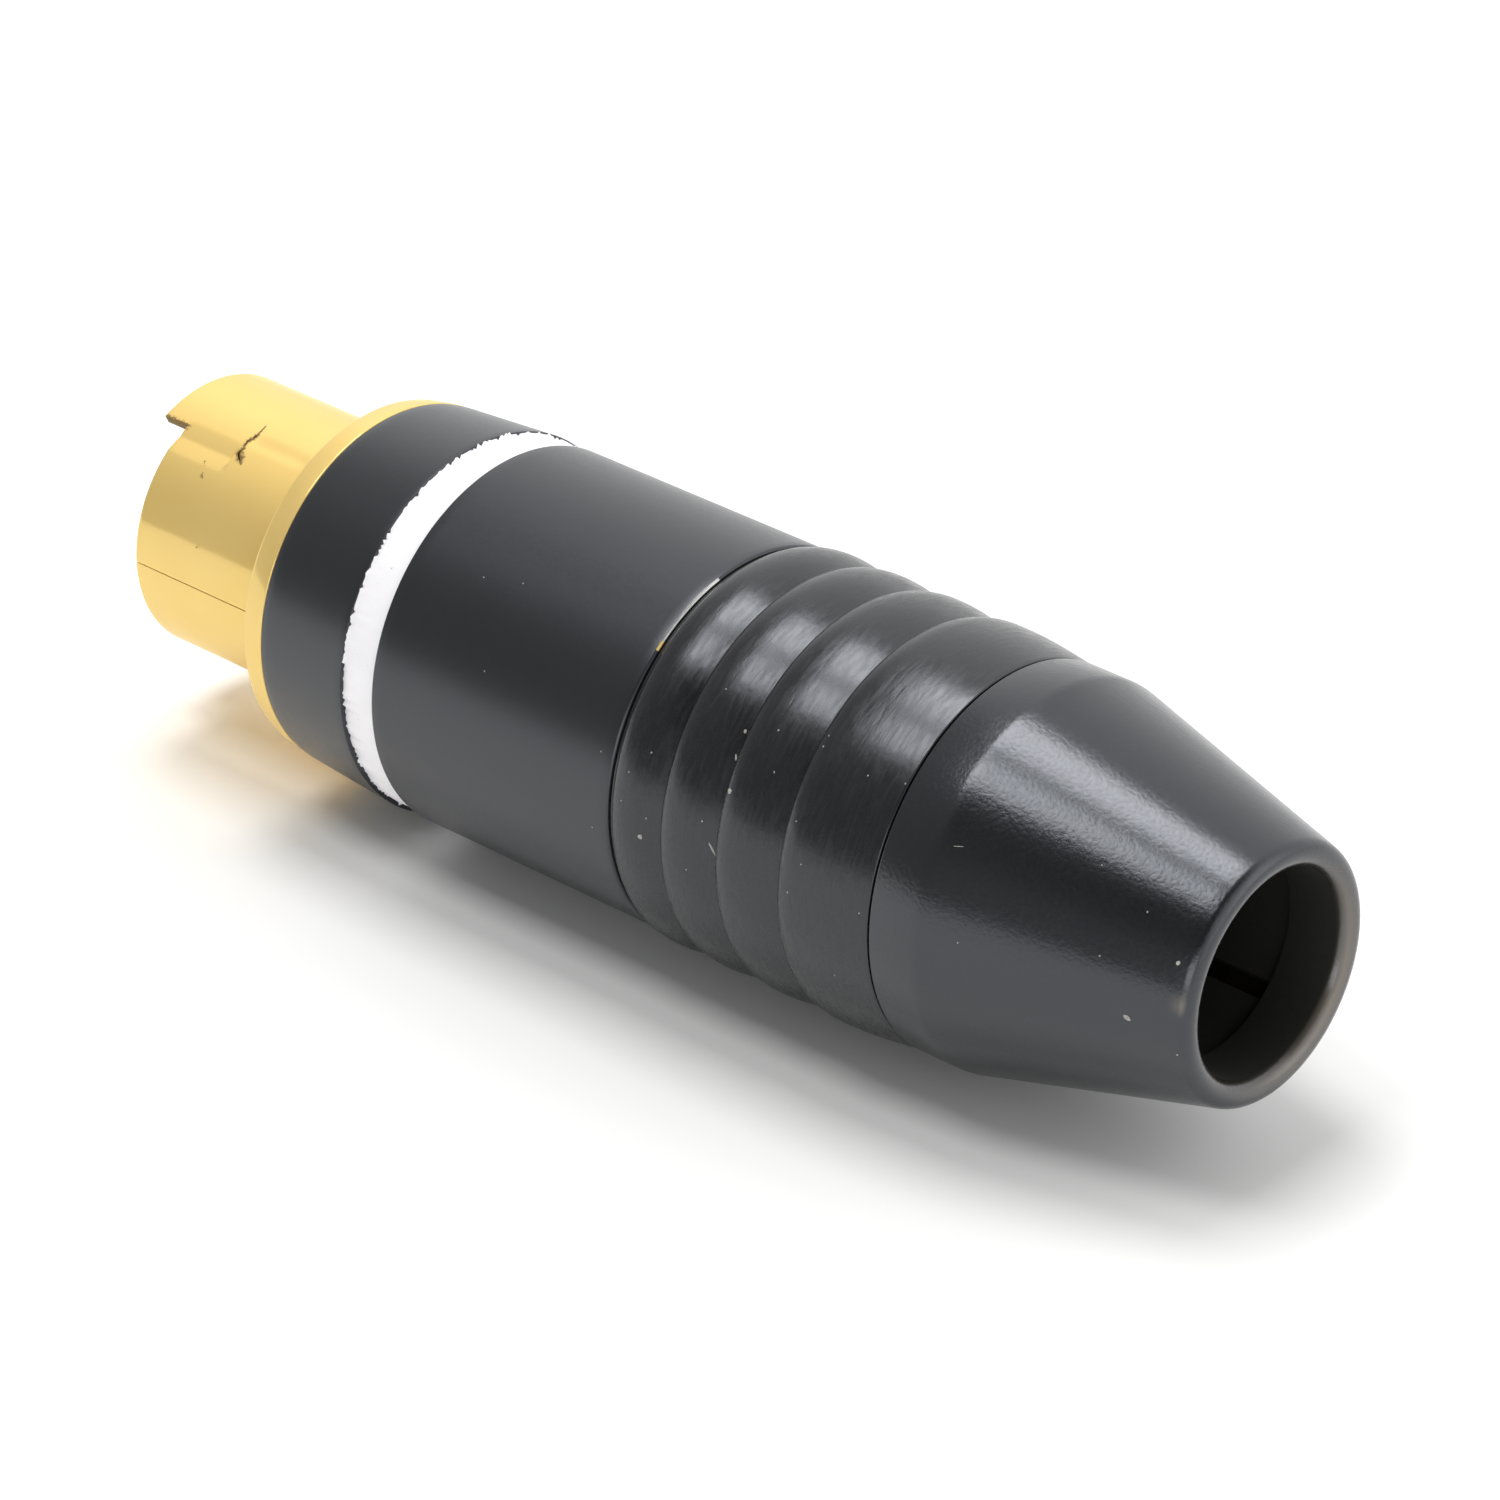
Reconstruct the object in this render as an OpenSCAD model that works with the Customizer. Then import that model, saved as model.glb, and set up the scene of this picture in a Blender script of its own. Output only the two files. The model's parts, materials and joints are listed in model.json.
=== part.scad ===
// Mini-DIN cable plug with a screwed barrel, lying on its side.
// The plug's axis is X: the skirt points to -X and the cable hole opens to +X. Z is up.
// The origin is on the axis, in the shoulder face that stops against the socket.
// Angles round the axis count from the skirt's seam, which faces -Y, towards +Z.

/* [Skirt] */
// Outside diameter of the rolled skirt
skirt_d = 9; // [8.8:0.05:9.2]
// Thickness of the skirt's sheet
skirt_wall = 0.3; // [0.2:0.05:0.35]
// Reach of the skirt's long rim ahead of the shoulder
skirt_reach = 7.47; // [7:0.05:8.5]
// How much shorter the rim is on the seam's side
rim_step = 1.02; // [0.2:0.02:1.2]
// Angle of the short rim, half of it on each side of the seam
short_rim_angle = 126; // [90:2:150]
// Length of the skirt's root inside the shoulder
root_l = 1; // [0.6:0.1:1.1]
// Step by which the root is joggled in, so that the skirt stops at the shoulder
root_step = 0.18; // [0.16:0.01:0.25]
// Open gap of the rolled seam
seam_gap = 0.08; // [0.04:0.02:0.2]
// Length of each pressed keyway, back from the long rim
keyway_l = 3.47; // [2.5:0.05:4]
// Radius of each keyway's trough
keyway_r = 0.9; // [0.7:0.05:1.1]
// Depth of each keyway below the skirt's surface
keyway_depth = 0.35; // [0.2:0.01:0.45]

/* [Contacts] */
// Diameter of a contact pin
pin_d = 1; // [0.8:0.05:1.1]
// Reach of the pins ahead of the shoulder
pin_reach = 5.6; // [4.8:0.1:6.2]
// Distance of pins 1 and 2 from each other
near_pin_pitch = 3; // [2.8:0.1:3.4]
// Offset of pins 1 and 2 from the axis, towards the key
near_pin_offset = 0.9; // [0.7:0.1:1]
// Distance of pins 3 and 4 from each other
far_pin_pitch = 4.7; // [4.4:0.1:4.8]
// Offset of pins 3 and 4 from the axis, away from the key
far_pin_offset = 1.2; // [1:0.1:1.3]
// Diameter of the collar that traps each pin
pin_collar_d = 1.7; // [1.6:0.05:1.9]
// Length of that collar
pin_collar_l = 0.6; // [0.4:0.1:0.9]
// Diameter of the solder cup
cup_d = 1.4; // [1.3:0.05:1.5]
// Diameter of the hole in the solder cup
cup_bore_d = 0.9; // [0.7:0.05:1]
// Length of the solder cup behind the retainer
cup_l = 3.2; // [2.8:0.1:4]
// Depth of the hole in the solder cup
cup_depth = 2.4; // [2:0.1:2.6]
// Length of the cup's open side
cup_open_l = 1.6; // [1:0.1:2]

/* [Insulators] */
// Distance of the pin block's face ahead of the shoulder
block_face = 1; // [0.5:0.1:1.6]
// Length of the pin block
block_l = 3.2; // [2.8:0.1:3.4]
// Reach of the key post ahead of the shoulder
key_reach = 5.9; // [5:0.1:6.4]
// Width of the key post
key_w = 2.6; // [2:0.1:2.8]
// Thickness of the key post
key_t = 1.1; // [0.8:0.05:1.2]
// Distance of the key post's middle from the axis
key_offset = 2.95; // [2.8:0.05:3]
// Depth of the key post's root in the pin block
key_root_l = 1; // [0.5:0.1:2]
// Length of the retainer's flange inside the skirt
retainer_flange_l = 0.95; // [0.6:0.05:1]
// Length of the retainer's boss that carries the shield halves
retainer_boss_l = 1.8; // [1.2:0.1:2.4]

/* [Shield halves] */
// Thickness of the shield halves' sheet
shield_wall = 0.25; // [0.15:0.05:0.3]
// Length of the wide part of the shield halves
shield_l = 7.7; // [6:0.1:9]
// Length of the slope down to the cable clamp
shield_slope_l = 1.5; // [1:0.1:2.5]
// Length of the cable clamp
clamp_l = 2.6; // [2:0.1:3.5]
// Inside diameter of the cable clamp
clamp_bore_d = 5.8; // [5:0.1:6.4]
// Gap between the two halves
shield_split = 0.12; // [0.06:0.02:0.3]
// Width of each clamp wing
wing_w = 1.6; // [1:0.1:2.2]
// Height of the clamp wings above the split
wing_h = 2.2; // [1.5:0.1:2.4]

/* [Nose] */
// Diameter of the shoulder at its front face
shoulder_front_d = 12; // [11.6:0.05:12.2]
// Diameter of the shoulder where the front collar meets it
shoulder_rear_d = 12.34; // [12.2:0.02:12.6]
// Width of the shoulder
shoulder_w = 1; // [0.8:0.1:1.8]
// Length of the front collar
collar_l = 3.85; // [3:0.05:5]
// Diameter of the front collar at its rear rim
collar_rear_d = 12.88; // [12.6:0.02:13.2]
// Wall of the front collar at its front rim
collar_wall = 0.99; // [0.6:0.01:1.05]
// Wall of the hollow spigot behind the shoulder
spigot_wall = 0.85; // [0.6:0.05:0.9]
// Length of the spigot's thread inside the core tube
spigot_thread_l = 2.8; // [2.4:0.1:4]
// Width of the white ring
ring_w = 1.35; // [1:0.05:2]
// Diameter of the white ring
ring_d = 12.58; // [12.4:0.02:12.8]
// Wall of the white ring
ring_wall = 1.11; // [0.7:0.01:1.2]

/* [Barrel] */
// Diameter of the barrel
barrel_d = 12.82; // [12.5:0.02:13.2]
// Length of the barrel
barrel_l = 10.1; // [9:0.1:14]
// Chamfer on the edges of the metal sleeves
edge_chamfer = 0.1; // [0.04:0.02:0.2]
// Wall of the barrel
barrel_wall = 0.78; // [0.5:0.02:0.8]
// Wall of the core tube under the barrel and the grip
core_wall = 0.72; // [0.5:0.02:0.8]
// Wall of the core tube over the spigot's thread
core_front_wall = 0.42; // [0.3:0.02:0.5]
// Wall of the insulating liner
liner_wall = 0.3; // [0.2:0.05:0.35]

/* [Grip] */
// Gap between the barrel and the grip
grip_gap = 0.13; // [0.05:0.01:0.3]
// Length of the grip
grip_l = 10.27; // [9.6:0.1:13]
// Number of ribs
rib_count = 4; // [3:1:4]
// Length of the first rib
first_rib_l = 2; // [1.6:0.05:2.2]
// How much longer each next rib is, up to the last, which takes the rest
rib_growth = 0.25; // [0:0.05:0.3]
// Length of each rib's steep front slope
rib_rise = 0.55; // [0.4:0.05:0.8]
// Diameter over the ribs
rib_d = 13.14; // [12.9:0.02:13.4]
// Height of the ribs above the valleys between them
rib_h = 0.26; // [0.1:0.01:0.4]
// Wall of the grip in the valleys
grip_wall = 0.68; // [0.5:0.02:0.8]

/* [Tail] */
// Gap between the grip and the tail cap
tail_gap = 0.06; // [0.02:0.01:0.2]
// Length of the tail cap
tail_l = 10.3; // [9.8:0.1:13]
// Diameter of the tail cap's straight band
tail_d = 12.68; // [12.4:0.02:13]
// Length of the straight band
band_l = 1.4; // [0.8:0.1:2]
// Diameter of the cable hole
cable_hole_d = 6.7; // [6.4:0.1:7]
// Thickness of the rounded lip round the cable hole
lip_t = 0.9; // [0.7:0.05:1.1]
// Length of the straight cable hole, with its lip
cable_hole_l = 2.2; // [1.6:0.1:2.6]
// Wall of the tail cap round the core tube's rear thread
tail_wall = 1.41; // [1:0.01:1.5]
// Length of that thread
tail_thread_l = 3.5; // [3:0.1:4]
// Wall of the core tube at that thread
tail_thread_wall = 0.7; // [0.5:0.05:0.9]
// Length of the core tube's step in front of that thread
core_step_l = 0.8; // [0.5:0.1:1.5]
// Ledge between that thread and the mouth of the conical seat that squeezes the collet
seat_ledge = 0.1; // [0.05:0.01:0.2]
// Ledge between the seat's narrow end and the cable hole
hole_ledge = 0.65; // [0.5:0.05:0.8]
// How much the collet's bore is wider than the cable hole, all round
collet_relief = 0.25; // [0.2:0.01:0.3]
// Number of slots in the collet
collet_slots = 4; // [3:1:6]
// Width of each slot
collet_slot_w = 0.6; // [0.4:0.1:0.8]
// Length of collet left whole in front of the slots
collet_root_l = 1.2; // [0.8:0.1:1.8]

/* [Fits] */
// Radial gap of pieces pushed together
push_gap = 0.03; // [0.01:0.01:0.05]
// Radial gap of the screwed pairs
thread_gap = 0.03; // [0.01:0.01:0.06]
// Radial gap of the shield halves in the spigot and on the retainer
sheet_gap = 0.04; // [0.02:0.01:0.06]
// End gap of pieces that must not bind
end_gap = 0.06; // [0.02:0.02:0.12]
// Gap between the collet and its conical seat
collet_gap = 0.06; // [0.03:0.01:0.1]

/* [Hidden] */
$fn = 96;

// Places along the axis
collar_x = shoulder_w;
ring_x = collar_x + collar_l;
barrel_x = ring_x + ring_w;
spigot_end = barrel_x + spigot_thread_l;
barrel_end = barrel_x + barrel_l;
grip_x = barrel_end + grip_gap;
grip_end = grip_x + grip_l;
tail_x = grip_end + tail_gap;
tail_end = tail_x + tail_l;
core_step_x = tail_x - core_step_l;
core_end = tail_x + tail_thread_l;
seat_x = core_end + end_gap;
seat_end = tail_end - cable_hole_l;
block_x = -block_face;
retainer_x = block_x + block_l;
boss_x = retainer_x + retainer_flange_l;
boss_end = boss_x + retainer_boss_l;
shield_x = max(boss_x, root_l) + 2 * end_gap;
shield_end = shield_x + shield_l;
clamp_x = shield_end + shield_slope_l;
clamp_end = clamp_x + clamp_l;
short_rim_x = rim_step - skirt_reach;
keyway_x = keyway_l - skirt_reach;

// Radii that follow from a neighbour
skirt_bore_r = skirt_d / 2 - skirt_wall;
root_r = skirt_d / 2 - root_step;
root_bore_r = skirt_bore_r - root_step;
root_seat_r = root_r + push_gap;
core_r = barrel_d / 2 - barrel_wall - push_gap;
core_bore_r = core_r - core_wall;
nose_bore_r = min(ring_d / 2 - ring_wall, shoulder_rear_d / 2 - collar_wall);
spigot_r = min(core_r - core_front_wall - thread_gap, nose_bore_r - push_gap);
spigot_bore_r = spigot_r - spigot_wall;
block_r = min(root_bore_r, spigot_bore_r) - push_gap;
shield_r = spigot_bore_r - sheet_gap;
boss_r = shield_r - shield_wall - sheet_gap;
liner_r = core_bore_r - push_gap;
valley_r = rib_d / 2 - rib_h;
grip_core_r = valley_r - grip_wall - push_gap;
grip_core_bore_r = grip_core_r - core_wall;
tail_thread_r = tail_d / 2 - tail_wall - thread_gap;
seat_mouth_r = tail_thread_r - seat_ledge;
seat_end_r = cable_hole_d / 2 + hole_ledge;
collet_bore_r = cable_hole_d / 2 + collet_relief;
pin_hole_r = pin_d / 2 + push_gap;
pin_collar_hole_r = pin_collar_d / 2 + push_gap;
cup_hole_r = cup_d / 2 + push_gap;

// Where the pins stand, as [distance towards the key, distance upwards]
pin_places = [
    [near_pin_offset, -near_pin_pitch / 2],
    [near_pin_offset, near_pin_pitch / 2],
    [-far_pin_offset, -far_pin_pitch / 2],
    [-far_pin_offset, far_pin_pitch / 2],
];
keyway_angles = [60, 180, 300];

// Margin by which a cutting shape passes the surface that it cuts
cut = 1;
// Steps along a rounded stretch of a profile
arc_steps = 8;

// Colours
gold = "goldenrod";
black_paint = [0.16, 0.16, 0.17];
black_rubber = [0.12, 0.12, 0.12];
white_plastic = "whitesmoke";
ivory_plastic = "ivory";
black_plastic = [0.14, 0.14, 0.14];
bright_tin = "silver";

// Turns a profile of [x, radius] points round the axis
module turned(profile) {
    rotate([0, 90, 0])
        rotate_extrude()
            polygon([for (p = profile) [p[1], p[0]]]);
}

// Round bar along the axis, from x0 to x1
module bar(x0, x1, r) {
    translate([x0, 0, 0])
        rotate([0, 90, 0])
            cylinder(r = r, h = x1 - x0);
}

// Ring along the axis, from x0 to x1
module ring(x0, x1, outer_r, inner_r) {
    difference() {
        bar(x0, x1, outer_r);
        bar(x0 - cut, x1 + cut, inner_r);
    }
}

// Puts a shape that stands on the axis at one pin's place
module at_pin(i) {
    translate([0, -pin_places[i][0], pin_places[i][1]])
        children();
}

// Points of an arc in a profile, by centre, radius and the angles of its ends
function arc(x, r, radius, from, to) = [
    for (k = [0:arc_steps])
        let (a = from + (to - from) * k / arc_steps)
            [x + radius * cos(a), r + radius * sin(a)]
];

// Radius of the tapered nose at a place between the shoulder and the white ring
function collar_r(x) =
    (shoulder_rear_d + (collar_rear_d - shoulder_rear_d) * (x - collar_x) / collar_l) / 2;

// Wedge ahead of the short rim, on the seam's side of the axis
module short_rim_cut() {
    wedge_l = skirt_d;
    wedge_w = wedge_l * tan(short_rim_angle / 2);
    translate([short_rim_x, 0, 0])
        rotate([0, -90, 0])
            linear_extrude(rim_step + cut)
                polygon([[0, 0], [wedge_w, -wedge_l], [-wedge_w, -wedge_l]]);
}

// Bar along one keyway's trough, from past the rim to its closed end
module keyway_bar(angle, r, end) {
    rotate([-angle, 0, 0])
        translate([0, keyway_depth - skirt_d / 2 - keyway_r, 0])
            bar(-skirt_reach - cut, end, r);
}

// Rolled sheet skirt with its open seam, pressed keyways and stepped rim
module skirt_shell() {
    color(gold)
        difference() {
            union() {
                turned([
                    [-skirt_reach, skirt_bore_r],
                    [-skirt_reach, skirt_d / 2],
                    [0, skirt_d / 2],
                    [0, root_r],
                    [root_l, root_r],
                    [root_l, root_bore_r],
                    [-skirt_wall, root_bore_r],
                    [-skirt_wall, skirt_bore_r],
                ]);
                for (angle = keyway_angles)
                    intersection() {
                        bar(-skirt_reach, keyway_x + skirt_wall, skirt_bore_r + skirt_wall / 2);
                        keyway_bar(angle, keyway_r + skirt_wall, keyway_x + skirt_wall + cut);
                    }
            }
            for (angle = keyway_angles)
                keyway_bar(angle, keyway_r, keyway_x);
            short_rim_cut();
            translate([-skirt_reach - cut, -skirt_d, -seam_gap / 2])
                cube([skirt_reach + root_l + 2 * cut, skirt_d, seam_gap]);
        }
}

// Moulded insulator with the key post, bored for the pins and their collars
module pin_block() {
    color(ivory_plastic)
        difference() {
            union() {
                bar(block_x, retainer_x, block_r);
                translate([-key_reach, -key_offset - key_t / 2, -key_w / 2])
                    cube([key_reach + block_x + key_root_l, key_t, key_w]);
            }
            for (i = [0:3])
                at_pin(i) {
                    bar(block_x - cut, retainer_x + cut, pin_hole_r);
                    bar(retainer_x - pin_collar_l - end_gap, retainer_x + cut, pin_collar_hole_r);
                }
        }
}

// Moulded disc that traps the pins' collars and carries the shield halves on its boss
module pin_retainer() {
    color(ivory_plastic)
        difference() {
            union() {
                bar(retainer_x, boss_x, block_r);
                bar(boss_x, boss_end, boss_r);
            }
            for (i = [0:3])
                at_pin(i)
                    bar(retainer_x - cut, boss_end + cut, cup_hole_r);
        }
}

// Turned contact: round tip, trapped collar, and a solder cup that is open on its outer side
module contact_pin(i) {
    tip_r = pin_d / 2;
    cup_end = boss_end + cup_l;
    outward = sign(pin_places[i][1]);
    color(gold)
        at_pin(i)
            difference() {
                union() {
                    translate([tip_r - pin_reach, 0, 0])
                        sphere(r = tip_r);
                    bar(tip_r - pin_reach, retainer_x, tip_r);
                    bar(retainer_x - pin_collar_l, retainer_x, pin_collar_d / 2);
                    bar(retainer_x, cup_end, cup_d / 2);
                }
                bar(cup_end - cup_depth, cup_end + cut, cup_bore_d / 2);
                translate([cup_end - cup_open_l, -cup_d, outward > 0 ? 0 : -cup_d])
                    cube([cup_open_l + cut, 2 * cup_d, cup_d]);
            }
}

// Closed shield round the solder joints, before it is split into its halves
module shield_tube() {
    wide_r = shield_r;
    clamp_r = clamp_bore_d / 2 + shield_wall;
    turned([
        [shield_x, wide_r - shield_wall],
        [shield_x, wide_r],
        [shield_end, wide_r],
        [clamp_x, clamp_r],
        [clamp_end, clamp_r],
        [clamp_end, clamp_r - shield_wall],
        [clamp_x, clamp_r - shield_wall],
        [shield_end, wide_r - shield_wall],
    ]);
}

// Half space above or below the split of the shield
module shield_side(up, end) {
    span = 2 * shield_r + cut;
    translate([shield_x - cut, -span / 2, up > 0 ? shield_split / 2 : -shield_split / 2 - span])
        cube([end - shield_x + cut, span, span]);
}

// Upper half of the shield, which stops short of the clamp
module upper_shield_half() {
    color(bright_tin)
        intersection() {
            shield_tube();
            shield_side(1, clamp_x - end_gap);
        }
}

// Lower half of the shield, with two upright wings that fold over the cable
module lower_shield_half() {
    wing_x = clamp_x + (clamp_l - wing_w) / 2;
    color(bright_tin) {
        intersection() {
            shield_tube();
            shield_side(-1, clamp_end + cut);
        }
        for (side = [-1, 1])
            translate([wing_x, side * (clamp_bore_d + shield_wall) / 2 - shield_wall / 2, -shield_split])
                cube([wing_w, shield_wall, wing_h + shield_split]);
    }
}

// Turned shoulder with the hollow spigot that the nose rings sit on
module nose_ferrule() {
    front_r = shoulder_front_d / 2;
    color(gold)
        turned([
            [0, root_seat_r],
            [0, front_r - edge_chamfer],
            [edge_chamfer, front_r],
            [shoulder_w, shoulder_rear_d / 2],
            [shoulder_w, spigot_r],
            [spigot_end, spigot_r],
            [spigot_end, spigot_bore_r],
            [root_l + end_gap, spigot_bore_r],
            [root_l + end_gap, root_seat_r],
        ]);
}

// Tapered ring between the shoulder and the white ring
module front_collar() {
    bore_r = spigot_r + push_gap;
    color(black_paint)
        turned([
            [collar_x, bore_r],
            [collar_x, collar_r(collar_x) - edge_chamfer / 2],
            [collar_x + edge_chamfer / 2, collar_r(collar_x + edge_chamfer / 2)],
            [ring_x - edge_chamfer, collar_r(ring_x - edge_chamfer)],
            [ring_x, collar_r(ring_x) - edge_chamfer],
            [ring_x, bore_r],
        ]);
}

// White marking ring, clamped between the front collar and the barrel
module colour_ring() {
    color(white_plastic)
        ring(ring_x, barrel_x, ring_d / 2, spigot_r + push_gap);
}

// Plain sleeve with its edges broken
module barrel() {
    r = barrel_d / 2;
    bore_r = core_r + push_gap;
    color(black_paint)
        turned([
            [barrel_x, bore_r],
            [barrel_x, r - edge_chamfer],
            [barrel_x + edge_chamfer, r],
            [barrel_end - edge_chamfer, r],
            [barrel_end, r - edge_chamfer],
            [barrel_end, bore_r],
        ]);
}

// Tube that the barrel and the grip sit on: it screws on the spigot, and the tail cap screws on its end
module core_tube() {
    front_bore_r = spigot_r + thread_gap;
    rear_bore_r = tail_thread_r - tail_thread_wall;
    color(gold)
        turned([
            [barrel_x, front_bore_r],
            [barrel_x, core_r],
            [barrel_end, core_r],
            [grip_x, grip_core_r],
            [tail_x, grip_core_r],
            [tail_x, tail_thread_r],
            [core_end, tail_thread_r],
            [core_end, rear_bore_r],
            [core_step_x, rear_bore_r],
            [core_step_x, grip_core_bore_r],
            [grip_x, grip_core_bore_r],
            [barrel_end, core_bore_r],
            [spigot_end + end_gap, core_bore_r],
            [spigot_end + end_gap, front_bore_r],
        ]);
}

// Plastic tube that keeps the solder joints off the core tube
module insulating_liner() {
    color(ivory_plastic)
        ring(spigot_end, barrel_end - end_gap, liner_r, liner_r - liner_wall);
}

// Where rib i starts; the last rib runs to the end of the grip
function rib_x(i) = i < rib_count ? grip_x + i * first_rib_l + rib_growth * i * (i - 1) / 2 : grip_end;

// Outline of rib i: a steep quarter wave up to its crest and a long one down to the next valley
function rib(i) = let (
    start = rib_x(i),
    crest = start + rib_rise,
    fall = rib_x(i + 1) - crest
) concat(
    [for (k = [0:arc_steps - 1])
        [start + rib_rise * k / arc_steps, valley_r + rib_h * sin(90 * k / arc_steps)]],
    [for (k = [0:arc_steps - 1])
        [crest + fall * k / arc_steps, valley_r + rib_h * cos(90 * k / arc_steps)]]
);

// Soft sleeve with convex ribs, stretched over the core tube
module grip_sleeve() {
    bore_r = grip_core_r + push_gap;
    ribs = [for (i = [0:rib_count - 1]) each rib(i)];
    color(black_rubber)
        turned(concat(
            [[grip_x, bore_r]],
            ribs,
            [[grip_end, valley_r], [grip_end, bore_r]]
        ));
}

// Slotted cone that closes on the cable as the tail cap is screwed home
module cable_collet() {
    collet_x = core_end + end_gap / 2;
    collet_end = seat_end - end_gap;
    front_r = seat_mouth_r - collet_gap;
    color(black_plastic)
        difference() {
            turned([
                [collet_x, collet_bore_r],
                [collet_x, front_r],
                [seat_x, front_r],
                [collet_end, seat_end_r - collet_gap],
                [collet_end, collet_bore_r],
            ]);
            for (k = [0:collet_slots - 1])
                rotate([360 * (k + 0.5) / collet_slots, 0, 0])
                    translate([collet_x + collet_root_l, -collet_slot_w / 2, 0])
                        cube([tail_l, collet_slot_w, tail_d]);
        }
}

// Conical screw cap: straight band, cone, and a full round lip at the cable hole
module tail_cap() {
    r = tail_d / 2;
    thread_r = tail_thread_r + thread_gap;
    lip_r = lip_t / 2;
    lip_x = tail_end - lip_r;
    lip_centre_r = cable_hole_d / 2 + lip_r;
    cone_x = tail_x + band_l;
    run = lip_x - cone_x;
    drop = r - lip_centre_r;
    slope = asin(lip_r / norm([run, drop])) - atan2(drop, run);
    color(black_paint)
        turned(concat(
            [[tail_x, thread_r], [tail_x, r - edge_chamfer], [tail_x + edge_chamfer, r], [cone_x, r]],
            arc(lip_x, lip_centre_r, lip_r, 90 + slope, -90),
            [
                [seat_end, cable_hole_d / 2],
                [seat_end, seat_end_r],
                [seat_x, seat_mouth_r],
                [seat_x, thread_r],
            ]
        ));
}

skirt_shell();
pin_block();
pin_retainer();
contact_pin(0);  // contact_pin_1
contact_pin(1);  // contact_pin_2
contact_pin(2);  // contact_pin_3
contact_pin(3);  // contact_pin_4
upper_shield_half();
lower_shield_half();
nose_ferrule();
front_collar();
colour_ring();
barrel();
core_tube();
insulating_liner();
grip_sleeve();
cable_collet();
tail_cap();
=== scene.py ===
"""A mini-DIN cable plug that lies on a pale table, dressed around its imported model."""

import json
import math

import bmesh
import bpy
from mathutils import Matrix, Vector

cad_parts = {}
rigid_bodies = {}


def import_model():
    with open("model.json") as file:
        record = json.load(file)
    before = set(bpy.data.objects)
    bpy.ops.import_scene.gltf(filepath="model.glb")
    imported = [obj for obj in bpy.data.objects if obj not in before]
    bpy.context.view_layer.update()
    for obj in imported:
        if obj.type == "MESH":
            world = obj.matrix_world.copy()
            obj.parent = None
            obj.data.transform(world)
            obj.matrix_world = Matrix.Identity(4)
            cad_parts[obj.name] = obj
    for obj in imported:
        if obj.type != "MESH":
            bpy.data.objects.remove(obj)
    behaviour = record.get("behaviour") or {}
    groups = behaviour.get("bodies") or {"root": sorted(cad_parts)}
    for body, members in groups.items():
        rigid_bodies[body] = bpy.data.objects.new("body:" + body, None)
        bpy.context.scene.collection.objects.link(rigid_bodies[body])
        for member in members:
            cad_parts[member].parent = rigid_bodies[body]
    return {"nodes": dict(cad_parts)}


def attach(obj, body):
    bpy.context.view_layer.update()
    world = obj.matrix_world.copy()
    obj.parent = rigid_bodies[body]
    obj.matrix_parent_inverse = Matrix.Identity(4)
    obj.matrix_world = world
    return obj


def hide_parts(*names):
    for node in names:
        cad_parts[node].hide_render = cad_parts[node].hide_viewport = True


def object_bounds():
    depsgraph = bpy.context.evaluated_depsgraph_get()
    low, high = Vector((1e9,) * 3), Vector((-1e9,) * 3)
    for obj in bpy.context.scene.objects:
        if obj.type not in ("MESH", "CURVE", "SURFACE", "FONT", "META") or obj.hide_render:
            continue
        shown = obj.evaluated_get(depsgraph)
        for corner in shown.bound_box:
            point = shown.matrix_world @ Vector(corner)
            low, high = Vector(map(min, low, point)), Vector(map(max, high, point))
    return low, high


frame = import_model()
cad_box = [list(corner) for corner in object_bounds()]

# The pin block: the plug's insulator, injection moulded in one piece with the key post that stops a wrong
# insertion. It is pushed into the skirt's root, and four holes carry the contacts.
MM = 0.001
BLOCK_FACE_X, BLOCK_REAR_X, BLOCK_R = -1.0, 2.2, 3.99
KEY_REACH_X, KEY_ROOT_X, KEY_T, KEY_W, KEY_Y = -5.9, 0.0, 1.1, 2.6, -2.95
KEY_ROUND, BLOCK_ROUND = 0.18, 0.12
PIN_PLACES = [(-0.9, -1.5), (-0.9, 1.5), (1.2, -2.35), (1.2, 2.35)]
PIN_HOLE_R, PIN_HOLE_SINK, PIN_HOLE_PAST = 0.53, 0.12, 1
# How near two points in mm count as one, and the angle below which a turned surface looks smooth
SAME_POINT, SMOOTH_ANGLE = 1e-4, math.radians(30)


def linear(code):
    """A colour written as an sRGB hex value, as the linear RGBA that a shader takes."""
    parts = [int(code[i : i + 2], 16) / 255 for i in (1, 3, 5)]
    return [p / 12.92 if p <= 0.04045 else ((p + 0.055) / 1.055) ** 2.4 for p in parts] + [1]


def add(tree, kind, inputs=None, **settings):
    """Adds a shader node with its settings, and fills its inputs with values or with other sockets."""
    made = tree.nodes.new(kind)
    for name, value in settings.items():
        setattr(made, name, value)
    for name, value in (inputs or {}).items():
        if isinstance(value, bpy.types.NodeSocket):
            tree.links.new(value, made.inputs[name])
        else:
            made.inputs[name].default_value = value
    return made


def new_finish(name):
    """A new material with an empty node tree."""
    material = bpy.data.materials.new(name)
    material.use_nodes = True
    material.node_tree.nodes.clear()
    return material, material.node_tree


def pick(piece, test, kind="verts"):
    """In edit mode, selects just the vertices, edges or faces whose middles, in mm, pass the test."""
    bpy.ops.mesh.select_mode(type={"verts": "VERT", "edges": "EDGE", "faces": "FACE"}[kind])
    bpy.ops.mesh.select_all(action="DESELECT")
    shape = bmesh.from_edit_mesh(piece.data)
    for part in getattr(shape, kind):
        corners = [part] if kind == "verts" else part.verts
        middle = sum((v.co for v in corners), Vector()) / len(corners)
        if test(middle / MM):
            part.select_set(True)
    shape.select_flush_mode()
    bmesh.update_edit_mesh(piece.data)


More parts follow.
